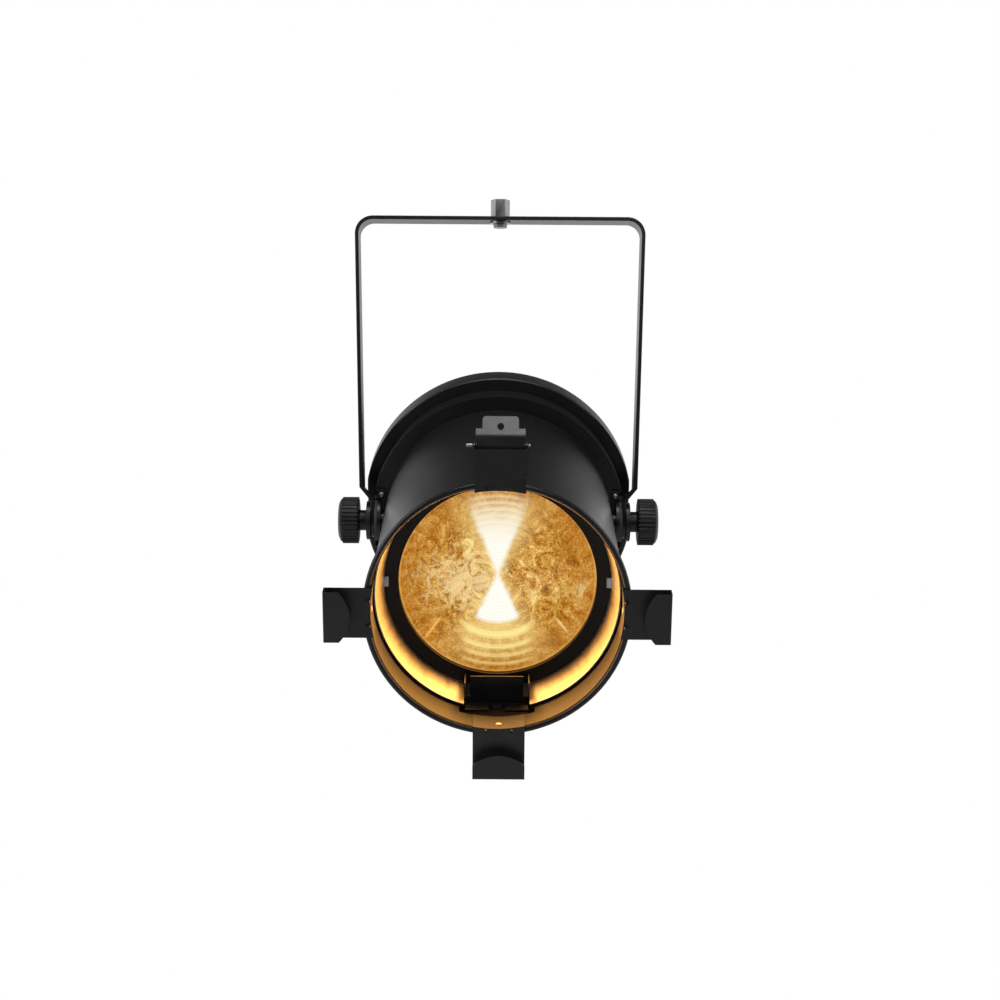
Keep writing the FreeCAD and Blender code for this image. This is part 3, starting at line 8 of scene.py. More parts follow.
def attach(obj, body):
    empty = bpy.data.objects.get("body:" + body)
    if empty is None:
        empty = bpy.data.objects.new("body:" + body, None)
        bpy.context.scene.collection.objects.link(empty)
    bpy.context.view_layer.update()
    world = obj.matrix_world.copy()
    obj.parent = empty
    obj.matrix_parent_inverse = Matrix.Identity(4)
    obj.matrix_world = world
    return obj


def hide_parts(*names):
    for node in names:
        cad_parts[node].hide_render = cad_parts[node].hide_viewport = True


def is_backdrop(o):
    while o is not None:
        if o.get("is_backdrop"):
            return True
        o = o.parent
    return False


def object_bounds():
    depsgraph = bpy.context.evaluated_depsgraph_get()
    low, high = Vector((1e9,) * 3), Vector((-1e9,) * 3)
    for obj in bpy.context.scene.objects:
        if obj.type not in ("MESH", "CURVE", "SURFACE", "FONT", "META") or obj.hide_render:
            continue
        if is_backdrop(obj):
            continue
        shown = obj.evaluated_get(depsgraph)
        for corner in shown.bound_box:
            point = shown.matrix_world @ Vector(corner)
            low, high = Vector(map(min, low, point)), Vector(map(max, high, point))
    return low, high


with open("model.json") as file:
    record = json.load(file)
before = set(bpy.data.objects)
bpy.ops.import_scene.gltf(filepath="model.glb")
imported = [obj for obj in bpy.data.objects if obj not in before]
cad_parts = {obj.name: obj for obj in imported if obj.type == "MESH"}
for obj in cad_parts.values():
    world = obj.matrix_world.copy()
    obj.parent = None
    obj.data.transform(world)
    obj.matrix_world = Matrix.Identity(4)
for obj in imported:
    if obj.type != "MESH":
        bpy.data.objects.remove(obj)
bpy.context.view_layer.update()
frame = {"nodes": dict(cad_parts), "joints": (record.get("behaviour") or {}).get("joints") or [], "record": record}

# ---------------------------------------------------------------- camera, studio light and floor
# A long lens looks level at the lamp from the front. The camera sees white all round, while the lamp
# is lit by a white wall behind it and by soft boxes beside, above and before it. A pale floor lies
# well below.

camera_data = bpy.data.cameras.new("camera")
camera_data.lens = 68.4
camera_data.sensor_width = 36
camera = bpy.data.objects.new("camera", camera_data)
camera.location = (0.0014, -1.614, -0.2546)
camera.rotation_euler = (math.radians(90), math.radians(-0.4), 0)
bpy.context.scene.collection.objects.link(camera)
bpy.context.scene.camera = camera
bpy.context.scene.view_settings.view_transform = "Standard"


def soft_box(name, place, aim, width, height, power, colour=(1, 1, 1)):
    light = bpy.data.lights.new(name, "AREA")
    light.shape = "RECTANGLE"
    light.size = width
    light.size_y = height
    light.energy = power
    light.color = colour
    lamp = bpy.data.objects.new(name, light)
    lamp.location = place
    lamp.rotation_euler = (Vector(aim) - Vector(place)).to_track_quat("-Z", "Y").to_euler()
    bpy.context.scene.collection.objects.link(lamp)
    return lamp


soft_box("left_box", (-1.5, -0.7, 0.1), (0, 0, -0.3), 0.6, 1.6, 13)
soft_box("right_box", (1.6, -0.5, 0.1), (0, 0, -0.3), 0.5, 1.5, 9)
soft_box("top_box", (0, -0.5, 1.4), (0, 0.05, -0.2), 1.2, 0.9, 12)
soft_box("front_fill", (0.5, -2.4, 1.1), (0, 0, -0.3), 1.2, 1.0, 7)


class Wire:
    """A node socket that can be used in sums; each operation adds its Math node."""

    def __init__(self, nodes, socket):
        self.nodes = nodes
        self.socket = socket

    def math(self, operation, left, right=0, clamp=False):
        settings = {"operation": operation, "use_clamp": clamp}
        return self.nodes.add("ShaderNodeMath", settings, {0: left, 1: right})

    def __add__(self, other):
        return self.math("ADD", self, other)

    __radd__ = __add__

    def __sub__(self, other):
        return self.math("SUBTRACT", self, other)

    def __rsub__(self, other):
        return self.math("SUBTRACT", other, self)

    def __mul__(self, other):
        return self.math("MULTIPLY", self, other)

    __rmul__ = __mul__

    def __truediv__(self, other):
        return self.math("DIVIDE", self, other)

    def __pow__(self, other):
        return self.math("POWER", self, other)

    def __gt__(self, other):
        return self.math("GREATER_THAN", self, other)

    def __abs__(self):
        return self.math("ABSOLUTE", self)

    def sine(self):
        return self.math("SINE", self)

    def from_to(self, low, high):
        """Zero at low, one at high, with eased ends; low may be above high."""
        return self.nodes.add("ShaderNodeMapRange", {"interpolation_type": "SMOOTHSTEP"},
                              {"Value": self, "From Min": low, "From Max": high})


class Nodes:
    """A node tree being written, for the room, for a finish or for geometry."""

    def __init__(self, tree):
        self.tree = tree

    def add(self, kind, settings=None, inputs=None, take=0):
        """Add a node: settings first, then values or wires to its sockets; returns one output."""
        node = self.tree.nodes.new(kind)
        for name, value in (settings or {}).items():
            if name == "stops":
                self.set_stops(node.color_ramp, value)
            else:
                setattr(node, name, value)
        for key, value in (inputs or {}).items():
            socket = node.inputs[key]
            if isinstance(value, Wire):
                self.tree.links.new(value.socket, socket)
            elif isinstance(value, tuple) and len(value) == 3 and socket.type == "RGBA":
                socket.default_value = (*value, 1)
            else:
                socket.default_value = value
        return Wire(self, node.outputs[take]) if len(node.outputs) else None

    def set_stops(self, ramp, stops):
        while len(ramp.elements) > 1:
            ramp.elements.remove(ramp.elements[-1])
        ramp.elements[0].position, first = stops[0]
        ramp.elements[0].color = (*first, 1)
        for place, colour in stops[1:]:
            ramp.elements.new(place).color = (*colour, 1)

    def noise(self, scale, detail=3, rough=0.5, vector=None, twist=0):
        inputs = {"Scale": scale, "Detail": detail, "Roughness": rough, "Distortion": twist}
        inputs["Vector"] = vector or self.place()
        return self.add("ShaderNodeTexNoise", {}, inputs)

    def place(self):
        return self.add("ShaderNodeTexCoord", {}, {}, "Object")

    def between(self, factor, dark, light):
        """Mix two colours by a factor."""
        inputs = {"Factor": factor, "A": dark, "B": light}
        return self.add("ShaderNodeMix", {"data_type": "RGBA"}, inputs, "Result")

    def ramp(self, factor, stops):
        return self.add("ShaderNodeValToRGB", {"stops": stops}, {"Fac": factor})

    def bump(self, height, distance, strength=1.0, under=None):
        inputs = {"Height": height, "Distance": distance, "Strength": strength}
        if under is not None:
            inputs["Normal"] = under
        return self.add("ShaderNodeBump", {}, inputs)

    def split(self, vector):
        """The three parts of a vector."""
        node = self.tree.nodes.new("ShaderNodeSeparateXYZ")
        self.tree.links.new(vector.socket, node.inputs[0])
        return [Wire(self, output) for output in node.outputs]


world = bpy.data.worlds.new("studio")
world.use_nodes = True
world.node_tree.nodes.clear()
room = Nodes(world.node_tree)
across, deep, rise = room.split(room.add("ShaderNodeTexCoord", {}, {}, "Generated"))
wall = deep.from_to(0.10, 0.50) * rise.from_to(-0.75, -0.2) * rise.from_to(0.50, 0.10)
tone = 0.045 + 0.95 * wall
seen = room.add("ShaderNodeLightPath", {}, {}, "Is Camera Ray")
strength = tone + seen * (1.0 - tone)
backdrop = room.add("ShaderNodeBackground", {}, {"Color": (1, 1, 1), "Strength": strength})
room.add("ShaderNodeOutputWorld", {}, {"Surface": backdrop})
bpy.context.scene.world = world


def begin_finish(name):
    material = bpy.data.materials.new(name)
    material.use_nodes = True
    material.node_tree.nodes.clear()
    return material, Nodes(material.node_tree)


def end_finish(nodes, **sockets):
    """Close a finish with a Principled shader; keywords are its sockets with _ for spaces."""
    inputs = {name.replace("_", " "): value for name, value in sockets.items()}
    shader = nodes.add("ShaderNodeBsdfPrincipled", {}, inputs)
    nodes.add("ShaderNodeOutputMaterial", {}, {"Surface": shader})


floor_half = 1.5
floor_drop = -1.1
corner_signs = [(-1, -1), (1, -1), (1, 1), (-1, 1)]
floor_corners = [(x * floor_half, y * floor_half, floor_drop) for x, y in corner_signs]
floor_mesh = bpy.data.meshes.new("floor")
floor_mesh.from_pydata(floor_corners, [], [(0, 1, 2, 3)])
floor = bpy.data.objects.new("floor", floor_mesh)
bpy.context.scene.collection.objects.link(floor)
pale, nodes = begin_finish("pale_floor")
floor_colour = nodes.between(nodes.noise(3), (0.80, 0.80, 0.80), (0.84, 0.84, 0.84))
end_finish(nodes, Base_Color=floor_colour, Roughness=0.6)
floor_mesh.materials.append(pale)
floor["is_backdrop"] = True

# ---------------------------------------------------------------- the lamp's own axes
# The lamp hangs tipped forward in its yoke. Its pieces are drawn with the tilt axis as origin
# and the beam along -Y, and are then turned and lowered into place by the frame's tilt joint.

joints = {joint["name"]: joint for joint in frame["joints"]}
pivot = Vector(joints["tilt"]["pos_m"])
backward = Vector(joints["lens_slide"]["axis"]).normalized()
lamp_tip = math.atan2(backward.z, backward.y)
lamp_frame = Matrix.Translation(pivot) @ Matrix.Rotation(lamp_tip, 4, "X")
body_of_node = {}
for body_name, members in frame["record"]["behaviour"]["bodies"].items():
    for member in members:
        body_of_node[member] = body_name


def lamp_box(node):
    """Lowest and highest corner of a node along the lamp's own axes."""
    to_lamp = lamp_frame.inverted()
    points = [to_lamp @ vertex.co for vertex in frame["nodes"][node].data.vertices]
    low = Vector([min(point[axis] for point in points) for axis in range(3)])
    high = Vector([max(point[axis] for point in points) for axis in range(3)])
    return low, high


def lamp_place(nodes):
    """Object coordinates turned to the lamp's own axes."""
    return nodes.add("ShaderNodeMapping", {"vector_type": "TEXTURE"},
                     {"Vector": nodes.place(), "Location": tuple(pivot), "Rotation": (lamp_tip, 0, 0)})


# ---------------------------------------------------------------- hanging stud, bolt and washer
# A hexagonal steel stud with a tapped hole stands on the yoke's bar. A bolt comes up through the
# bar into it from below, over a plain washer. All three are bright zinc plated.


def plated_steel(name, tone=0.5, rough=0.34, grain=700):
    """Zinc-plated steel with fine turning marks and a slightly cloudy passivation."""
    material, nodes = begin_finish(name)
    stretched = nodes.add("ShaderNodeMapping", {}, {"Vector": nodes.place(), "Scale": (1, 1, 9)})
    marks = nodes.noise(grain, 2, 0.5, stretched)
    cloud = nodes.noise(60, 3, 0.6)
    dull = (tone * 0.7, tone * 0.7, tone * 0.71)
    bright = (tone * 1.15, tone * 1.14, tone * 1.1)
    tint = nodes.between(cloud, dull, bright)
    end_finish(nodes, Base_Color=tint, Metallic=1.0, Roughness=rough + 0.16 * (marks - 0.5),
               Normal=nodes.bump(marks, 0.00004, 0.6))
    return material


def fix(piece, finish, *nodes, in_lamp=False, angle=35):
    """Place a finished piece, give it its finish and let it stand for its CAD nodes."""
    mesh = piece.data
    if in_lamp:
        mesh.transform(lamp_frame)
    if finish is not None:
        mesh.materials.clear()
        mesh.materials.append(finish)
    mesh.shade_smooth()
    mesh.set_sharp_from_angle(angle=math.radians(angle))
    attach(piece, body_of_node[nodes[0]])
    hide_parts(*nodes)
    return piece


def add_piece(name, mesh):
    piece = bpy.data.objects.new(name, mesh)
    bpy.context.scene.collection.objects.link(piece)
    return piece


def eased(node, finish, edge=0.00035, segments=2, angle=30):
    """A piece with the CAD node's own shape, its loose triangles joined and its edges eased."""
    mesh = frame["nodes"][node].data.copy()
    mesh.name = node + "_shape"
    work = bmesh.new()
    work.from_mesh(mesh)
    bmesh.ops.remove_doubles(work, verts=work.verts, dist=0.000002)
    bmesh.ops.dissolve_limit(work, angle_limit=math.radians(0.6), verts=work.verts, edges=work.edges)
    work.to_mesh(mesh)
    work.free()
    piece = add_piece(node + "_finished", mesh)
    fix(piece, finish, node)
    bevel = piece.modifiers.new("eased_edges", "BEVEL")
    bevel.width = edge
    bevel.segments = segments
    bevel.limit_method = "ANGLE"
    bevel.angle_limit = math.radians(angle)
    bevel.harden_normals = True
    bevel.use_clamp_overlap = True
    return piece


zinc = plated_steel("zinc_plated_steel")
eased("hanging_stud", zinc, 0.0006, 3)
eased("hanging_bolt", zinc, 0.0004)
eased("hanging_washer", zinc, 0.0003)

# ---------------------------------------------------------------- yoke
# One flat steel bar, bent square at the top and joggled in at each foot, with rounded ends.
# It is baked in black powder, which shines at a low angle and shows a faint orange peel.


def powder_coat(name, shade=0.009, rough=0.34, grain=1.0, blue=1.08):
    """Baked black powder: faint orange peel, satin patches and a few rubbed marks."""
    material, nodes = begin_finish(name)
    cloud = nodes.noise(9, 4, 0.55)
    peel = nodes.noise(1500, 2, 0.5)
    streaks = nodes.add("ShaderNodeMapping", {}, {"Vector": nodes.place(), "Scale": (240, 18, 90)})
    rubbed = nodes.noise(1, 3, 0.5, streaks).from_to(0.66, 0.74)
    low = (shade * 0.75, shade * 0.75, shade * 0.75 * blue)
    high = (shade * 1.3, shade * 1.3, shade * 1.3 * blue)
    tint = nodes.between(cloud, low, high)
    tint = nodes.between(rubbed * 0.2, tint, (0.03, 0.03, 0.032))
    end_finish(nodes, Base_Color=tint, Roughness=rough + 0.12 * (cloud - 0.5) + 0.05 * rubbed,
               Normal=nodes.bump(peel, 0.00004, 0.4 * grain), IOR=1.5)
    return material


coat = powder_coat("satin_black_powder")
eased("yoke_bar", coat, 0.0006, 3)

# ---------------------------------------------------------------- tilt knobs, washers and discs
# Each side is clamped by a ribbed plastic knob moulded over a steel stud, which turns in the lamp's
# bracket. A plastic washer lies under the knob and a pressed fibre disc inside the yoke's foot.


def moulded_plastic(name, colour=(0.010, 0.010, 0.0105), rough=0.40, grain=0.5):
    """Injection-moulded plastic with a fine spark-eroded grain."""
    material, nodes = begin_finish(name)
    fine = nodes.noise(2600, 1, 0.5)
    flow = nodes.noise(35, 3, 0.5)
    light = tuple(value * 1.35 + 0.001 for value in colour)
    end_finish(nodes, Base_Color=nodes.between(flow, colour, light), Roughness=rough + 0.10 * (flow - 0.5),
               Normal=nodes.bump(fine, 0.00003, grain))
    return material


def turned(profile, steps=96):
    """A shape turned about Z from (along, radius) points, which start and end on the axis."""
    work = bmesh.new()
    rows = []
    for step in range(steps):
        turn = 2 * math.pi * step / steps
        row = []
        for along, radius in profile:
            row.append(work.verts.new((radius * math.cos(turn), radius * math.sin(turn), along)))
        rows.append(row)
    for step in range(steps):
        here = rows[step]
        after = rows[(step + 1) % steps]
        for index in range(len(profile) - 1):
            work.faces.new((here[index], after[index], after[index + 1], here[index + 1]))
    bmesh.ops.remove_doubles(work, verts=work.verts, dist=0.0000005)
    bmesh.ops.dissolve_degenerate(work, edges=work.edges, dist=0.0000005)
    bmesh.ops.recalc_face_normals(work, faces=work.faces)
    mesh = bpy.data.meshes.new("turned")
    work.to_mesh(mesh)
    work.free()
    return mesh


def joined(name, *meshes):
    """Several meshes made into one."""
    work = bmesh.new()
    for mesh in meshes:
        work.from_mesh(mesh)
    whole = bpy.data.meshes.new(name)
    work.to_mesh(whole)
    work.free()
    return whole


def geometry_tree(name, sizes):
    """A new Geometry Nodes tree with a geometry input and one named number input for each size."""
    tree = bpy.data.node_groups.new(name, "GeometryNodeTree")
    tree.interface.new_socket("Geometry", in_out="INPUT", socket_type="NodeSocketGeometry")
    tree.interface.new_socket("Geometry", in_out="OUTPUT", socket_type="NodeSocketGeometry")
    for size_name, value in sizes.items():
        kind = "NodeSocketInt" if isinstance(value, int) else "NodeSocketFloat"
        tree.interface.new_socket(size_name, in_out="INPUT", socket_type=kind)
    nodes = Nodes(tree)
    entry = tree.nodes.new("NodeGroupInput")
    return nodes, {output.name: Wire(nodes, output) for output in entry.outputs if output.name}


def grow(nodes, shape, finish, sizes, start=None):
    """Close the tree, run it on a start mesh and return the result as a plain mesh."""
    whole = nodes.add("GeometryNodeRealizeInstances", {}, {"Geometry": shape})
    whole = nodes.add("GeometryNodeSetMaterial", {}, {"Geometry": whole, "Material": finish})
    nodes.add("NodeGroupOutput", {}, {"Geometry": whole})
    grower = add_piece("grower", start or bpy.data.meshes.new("start"))
    modifier = grower.modifiers.new("grow", "NODES")
    modifier.node_group = nodes.tree
    for item in nodes.tree.interface.items_tree:
        if item.in_out == "INPUT" and item.name in sizes:
            modifier[item.identifier] = sizes[item.name]
    bpy.context.view_layer.update()
    seen_now = grower.evaluated_get(bpy.context.evaluated_depsgraph_get())
    mesh = bpy.data.meshes.new_from_object(seen_now)
    grower.modifiers.clear()
    bpy.data.objects.remove(grower)
    return mesh


def round_row(nodes, part, count, radius):
    """Copies of a part, each turned to face out from the Z axis, at a radius from it."""
    ring = nodes.add("GeometryNodeMeshCircle", {}, {"Vertices": count, "Radius": radius})
    turn = nodes.add("GeometryNodeInputIndex") * (2 * math.pi) / count
    facing = nodes.add("ShaderNodeCombineXYZ", {}, {"Z": turn})
    return nodes.add("GeometryNodeInstanceOnPoints", {},
                     {"Points": ring, "Instance": part, "Rotation": facing})


def grip_ribs(name, finish, count, radius, rib, length):
    """Half-round ribs standing round a grip, each a rod sunk to its middle."""
    sizes = {"Count": count, "Radius": radius, "Rib": rib, "Length": length}
    nodes, size = geometry_tree(name, sizes)
    end = nodes.add("ShaderNodeCombineXYZ", {}, {"Z": size["Length"]})
    rod = nodes.add("GeometryNodeCurvePrimitiveLine", {}, {"End": end})
    section = nodes.add("GeometryNodeCurvePrimitiveCircle", {}, {"Resolution": 10, "Radius": size["Rib"]})
    rib_mesh = nodes.add("GeometryNodeCurveToMesh", {},
                         {"Curve": rod, "Profile Curve": section, "Fill Caps": True})
    row = round_row(nodes, rib_mesh, size["Count"], size["Radius"])
    return grow(nodes, row, finish, sizes)


plastic = moulded_plastic("black_moulded_plastic")
rib_radius = 0.0009
rib_count = 36
neck_share = 0.44
neck_length = 0.0065
neck_ease = 0.0006
root_ease = 0.0008
grip_ease = 0.0012
face_rise = 0.0012
front_round = ((0.0030, 0), (0.0012, 0.0004), (0, 0.0018))
front_inset = 0.0045
dish_outer, dish_inner, dish_depth = 0.62, 0.59, 0.0008
rib_gap = 0.0003
rib_shortfall = 0.0025
for side_name, sign in (("left", 1), ("right", -1)):
    node = "tilt_knob_" + side_name
    low, high = lamp_box(node)
    outer = max(high.z, high.y)
    near = min(abs(low.x), abs(high.x))
    far = max(abs(low.x), abs(high.x))
    neck = outer * neck_share
    grip = near + neck_length
    face = far - face_rise
    core = outer - rib_radius
    profile = [(near, 0), (near, neck - neck_ease), (near + neck_ease, neck), (grip - root_ease, neck),
               (grip, neck + root_ease), (grip, core - grip_ease), (grip + grip_ease, core)]
    profile += [(face - back, core - inward) for back, inward in front_round]
    profile += [(far, core - front_inset), (far, core * dish_outer),
                (far - dish_depth, core * dish_inner), (far - dish_depth, 0)]
    rib_length = face - rib_shortfall - grip
    ribs = grip_ribs(node + "_ribs", plastic, rib_count, core, rib_radius, rib_length)
    ribs.transform(Matrix.Translation((0, 0, grip + rib_gap)))
    shape = joined(node + "_shape", turned(profile), ribs)
    shape.transform(Matrix.Rotation(math.radians(90 * sign), 4, "Y"))
    fix(add_piece(node + "_moulded", shape), plastic, node, in_lamp=True, angle=28)
    eased("tilt_stud_" + side_name, zinc, 0.0004)

fibre, nodes = begin_finish("pressed_fibre")
fleck = nodes.noise(1400, 3, 0.7)
end_finish(nodes, Base_Color=nodes.between(fleck, (0.03, 0.028, 0.026), (0.10, 0.095, 0.09)),
           Roughness=0.8 + 0.1 * (fleck - 0.5), Normal=nodes.bump(fleck, 0.0001, 0.6))
eased("friction_discs", fibre, 0.0002)
eased("tilt_washers", plastic, 0.0005, 3)

# ---------------------------------------------------------------- nose tube
# A tube rolled from sheet steel, with its front edge curled into a bead. It is powder coated inside
# and out, and the beam's spill warms the coat inside.

tube_finish = powder_coat("tube_powder", 0.009, 0.36)
eased("nose_tube", tube_finish, 0.0002, 2)

# ---------------------------------------------------------------- gel-frame clips
# Three folded channels stand round the rim and take the edges of a square colour frame. Each foot
# is riveted inside the tube with a steel rivet. Clips and catch are powder coated, a little greyer.

clip_finish = powder_coat("clip_powder", 0.016, 0.38, 1.2, 1.2)
for node in ("clip_left", "clip_right", "clip_bottom", "catch_bracket"):
    eased(node, clip_finish, 0.0003, 2)


def head_row(name, places, finish, radius, height, cross):
    """Domed heads on (point, outward) places; a cross of two slots is cut in each screw."""
    start = bpy.data.meshes.new(name + "_places")
    start.from_pydata([point for point, outward in places], [], [])
    facing = start.attributes.new("outward", "FLOAT_VECTOR", "POINT")
    for index, (point, outward) in enumerate(places):
        facing.data[index].vector = outward
    sizes = {"Radius": radius, "Height": height}
    nodes, size = geometry_tree(name, sizes)
    dome = nodes.add("GeometryNodeMeshUVSphere", {}, {"Segments": 28, "Rings": 14, "Radius": size["Radius"]})
    flat = nodes.add("ShaderNodeCombineXYZ", {}, {"X": 1.0, "Y": 1.0, "Z": size["Height"] / size["Radius"]})
    dome = nodes.add("GeometryNodeTransform", {}, {"Geometry": dome, "Scale": flat})
    if cross:
        bars = nodes.add("GeometryNodeJoinGeometry")
        slot_length, slot_width = 1.1, 0.24
        bar_size = [size["Radius"] * slot_length, size["Radius"] * slot_width]
        lift = nodes.add("ShaderNodeCombineXYZ", {}, {"Z": size["Height"]})
        for long_way in (0, 1):
            sides = {"X": bar_size[long_way], "Y": bar_size[1 - long_way], "Z": size["Height"]}
            box = nodes.add("ShaderNodeCombineXYZ", {}, sides)
            bar = nodes.add("GeometryNodeMeshCube", {}, {"Size": box})
            bar = nodes.add("GeometryNodeTransform", {}, {"Geometry": bar, "Translation": lift})
            nodes.tree.links.new(bar.socket, bars.socket.node.inputs[0])
        dome = nodes.add("GeometryNodeMeshBoolean", {"operation": "DIFFERENCE", "solver": "EXACT"},
                         {"Mesh 1": dome, "Mesh 2": bars, "Self Intersection": True})
    way = nodes.add("GeometryNodeInputNamedAttribute", {"data_type": "FLOAT_VECTOR"},
                    {"Name": "outward"})
    turn = nodes.add("FunctionNodeAlignRotationToVector", {"axis": "Z"}, {"Vector": way})
    heads = nodes.add("GeometryNodeInstanceOnPoints", {},
                      {"Points": size["Geometry"], "Instance": dome, "Rotation": turn})
    return grow(nodes, heads, finish, sizes, start)


rivet_low, rivet_high = lamp_box("clip_rivets")
rivet_y = (rivet_low.y + rivet_high.y) / 2
clip_aside = sum(lamp_box("clip_bottom")[side].x for side in range(2)) / 2
clip_rise = sum(lamp_box("clip_left")[side].z for side in range(2)) / 2
rivet_places = []
rivet_radius = 0.0028
rivet_height = 0.0009
riveted_thickness = 0.0021
outer_head = rivet_high.x - rivet_height
inner_head = outer_head - riveted_thickness
for out in (Vector((0, 0, 1)), Vector((0, 0, -1)), Vector((1, 0, 0)), Vector((-1, 0, 0))):
    offset = Vector((clip_aside, rivet_y, 0)) if out.z else Vector((0, rivet_y, clip_rise))
    rivet_places.append((offset + out * outer_head, out))
    rivet_places.append((offset + out * inner_head, -out))
rivets = head_row("rivet_heads", rivet_places, zinc, rivet_radius, rivet_height, False)
fix(add_piece("rivets", rivets), None, "clip_rivets", in_lamp=True)

# ---------------------------------------------------------------- catch
# The top clip is a sprung lever on a pin between two ears. Its light tab is pressed back to let the
# colour frame in. The tab's upper face is painted pale and part metallic, as a painted sheen where it catches the
# light.

tab_above_foot = 0.032
# Height over which the tab's painted sheen fades in.
sheen_fade = 0.002
tab_start = lamp_box("catch_lever")[0].z + tab_above_foot
lever_finish, nodes = begin_finish("lever_powder")
z_way = nodes.split(lamp_place(nodes))[2]
# Painted sheen: above the tab's start the coat fades to a pale, part-metallic grey for the light the tab catches.
painted_tab_sheen = z_way.from_to(tab_start, tab_start + sheen_fade) * (0.85 + 0.3 * (nodes.noise(160, 4, 0.6) - 0.5))
cloud = nodes.noise(30, 4, 0.55)
dark = nodes.between(cloud, (0.011, 0.011, 0.013), (0.02, 0.02, 0.023))
# The pale grey of the tab's painted sheen.
bare_metal_and_tab_sheen = nodes.between(cloud, (0.33, 0.33, 0.34), (0.52, 0.52, 0.52))
end_finish(nodes, Base_Color=nodes.between(painted_tab_sheen, dark, bare_metal_and_tab_sheen), Metallic=painted_tab_sheen * 0.55,
           Roughness=0.40 + 0.1 * (cloud - 0.5), Normal=nodes.bump(nodes.noise(1500, 2), 0.00004, 0.4))
eased("catch_lever", lever_finish, 0.0003, 2)
eased("catch_pin", zinc, 0.0003)
eased("catch_spring", zinc, 0.00002)

# ---------------------------------------------------------------- Fresnel lens
# A moulded glass lens with stepped rings on its front and a stippled back. The lit diode behind it
# fills it with gold light, brightest in an upright hourglass, broken up by the stipple.


def paint(red, green, blue):
    """A colour given from 0 to 255, as linear light."""
    return tuple((value / 255) ** 2.2 for value in (red, green, blue))


ring_pitch = 0.0026
ring_depth = 0.0006
lens_low, lens_high = lamp_box("fresnel_lens")
to_lamp = lamp_frame.inverted()
seat = [to_lamp @ vertex.co for vertex in frame["nodes"]["lens_ring"].data.vertices]
seen_radius = min(math.hypot(point.x, point.z) for point in seat)
face_inset = 0.0004
ring_ledge = 0.0003
lens_face = lens_low.y + face_inset
profile = [(lens_face, 0)]
radius = ring_pitch
while radius < seen_radius:
    profile.append((lens_face + ring_depth, radius - ring_ledge))
    profile.append((lens_face, radius))
    radius += ring_pitch
profile += [(lens_face, lens_high.x), (lens_high.y, lens_high.x), (lens_high.y, 0)]

glow, nodes = begin_finish("lit_lens")
here = lamp_place(nodes)
x_way, _, z_way = nodes.split(here)
u = x_way / seen_radius
v = z_way / seen_radius
reach = (u * u + v * v) ** 0.5
waist = v - 0.054
above = waist > 0
below = 1.0 - above


def arc_band(middle, half):
    """A soft ring at a share of the lens's radius."""
    return (half - abs(reach - middle)).from_to(-0.012, half * 0.8)


def stray_line(u_middle, v_middle, cosine, sine, half_width, half_length, fade):
    """A short thin reflection on the glass; cosine and sine give its slant."""
    aside = (u - u_middle) * cosine - (v - v_middle) * sine
    along = (u - u_middle) * sine + (v - v_middle) * cosine
    thin = (half_width - abs(aside)).from_to(-half_width, half_width)
    return thin * (half_length - abs(along)).from_to(-0.02, fade)


wide = nodes.noise(62, 9, 0.70, here, 1.6)
fine = nodes.noise(700, 4, 0.6, here, 0.5)
stipple = wide * 0.62 + fine * 0.38
foil = nodes.ramp(stipple, [(0.36, paint(92, 52, 12)), (0.43, paint(148, 92, 28)),
                            (0.49, paint(196, 136, 54)), (0.545, paint(222, 170, 84)),
                            (0.60, paint(246, 214, 136)), (0.68, paint(255, 240, 184))])
off_left = ((u + 0.33) * (u + 0.33) + v * v * 1.4) ** 0.5
clumps = nodes.noise(95, 7, 0.68, here, 2.2)
cream = (clumps + (0.42 - off_left) * 0.45).from_to(0.50, 0.62)
foil = nodes.between(cream * 0.62, foil, paint(250, 224, 160))
foil = nodes.between(reach.from_to(0.45, 1.0) * 0.55, foil, paint(176, 104, 18))
swept = nodes.add("ShaderNodeMapping", {},
                  {"Vector": here, "Rotation": (0, 0.9, 0), "Scale": (150, 30, 34)})
streak = nodes.noise(1, 6, 0.65, swept, 1.2).from_to(0.52, 0.66)
foil = nodes.between(streak * reach.from_to(0.35, 0.85) * 0.42, foil, paint(104, 70, 26))
wobble = 0.05 * (nodes.noise(160, 3, 0.6) - 0.5)
up_beam = (waist * 0.40 + 0.012 - abs(u) + wobble).from_to(-0.03, 0.05)
up_beam = up_beam * above * v.from_to(0.95, 0.34)
down_beam = (0.012 - waist * 0.466 - abs(u) + wobble).from_to(-0.03, 0.04)
down_beam = down_beam * below * reach.from_to(0.50, 0.43)
step_count = 15
steps = (reach * (2 * math.pi * step_count)).sine() * 0.5 + 0.5
upper_arcs = above * (0.34 - abs(u)).from_to(0, 0.2) * v.from_to(0.25, 0.6) * v.from_to(1.1, 0.8) * steps
lower_arcs = arc_band(0.60, 0.05) + 0.75 * arc_band(0.735, 0.03) + 0.55 * arc_band(0.83, 0.022)
lower_arcs = (lower_arcs + 0.45 * arc_band(0.92, 0.018)) * below * (0.42 - abs(u)).from_to(0, 0.16)
halo = (1.0 - abs(u) / (abs(waist) * 0.9 + 0.10)).from_to(0, 1.0)
halo = halo * v.from_to(-1.02, -0.45) * v.from_to(1.08, 0.45)
lit = nodes.between(halo * 0.75, foil, paint(255, 222, 138))
lit = nodes.between(upper_arcs * 0.5, lit, paint(255, 238, 190))
lit = nodes.between(lower_arcs, lit, paint(255, 232, 150))
lit = nodes.between(up_beam + down_beam, lit, paint(255, 253, 242))
glint = stray_line(-0.66, -0.53, 0.82, 0.57, 0.012, 0.15, 0.05)
flare = stray_line(0.655, -0.49, 0.78, -0.62, 0.010, 0.10, 0.04)
lit = nodes.between(glint * 0.8, lit, paint(255, 190, 90))
lit = nodes.between(flare * 0.7, lit, paint(255, 230, 160))
lit = nodes.between(reach.from_to(0.975, 1.0) * 0.5, lit, paint(240, 180, 90))
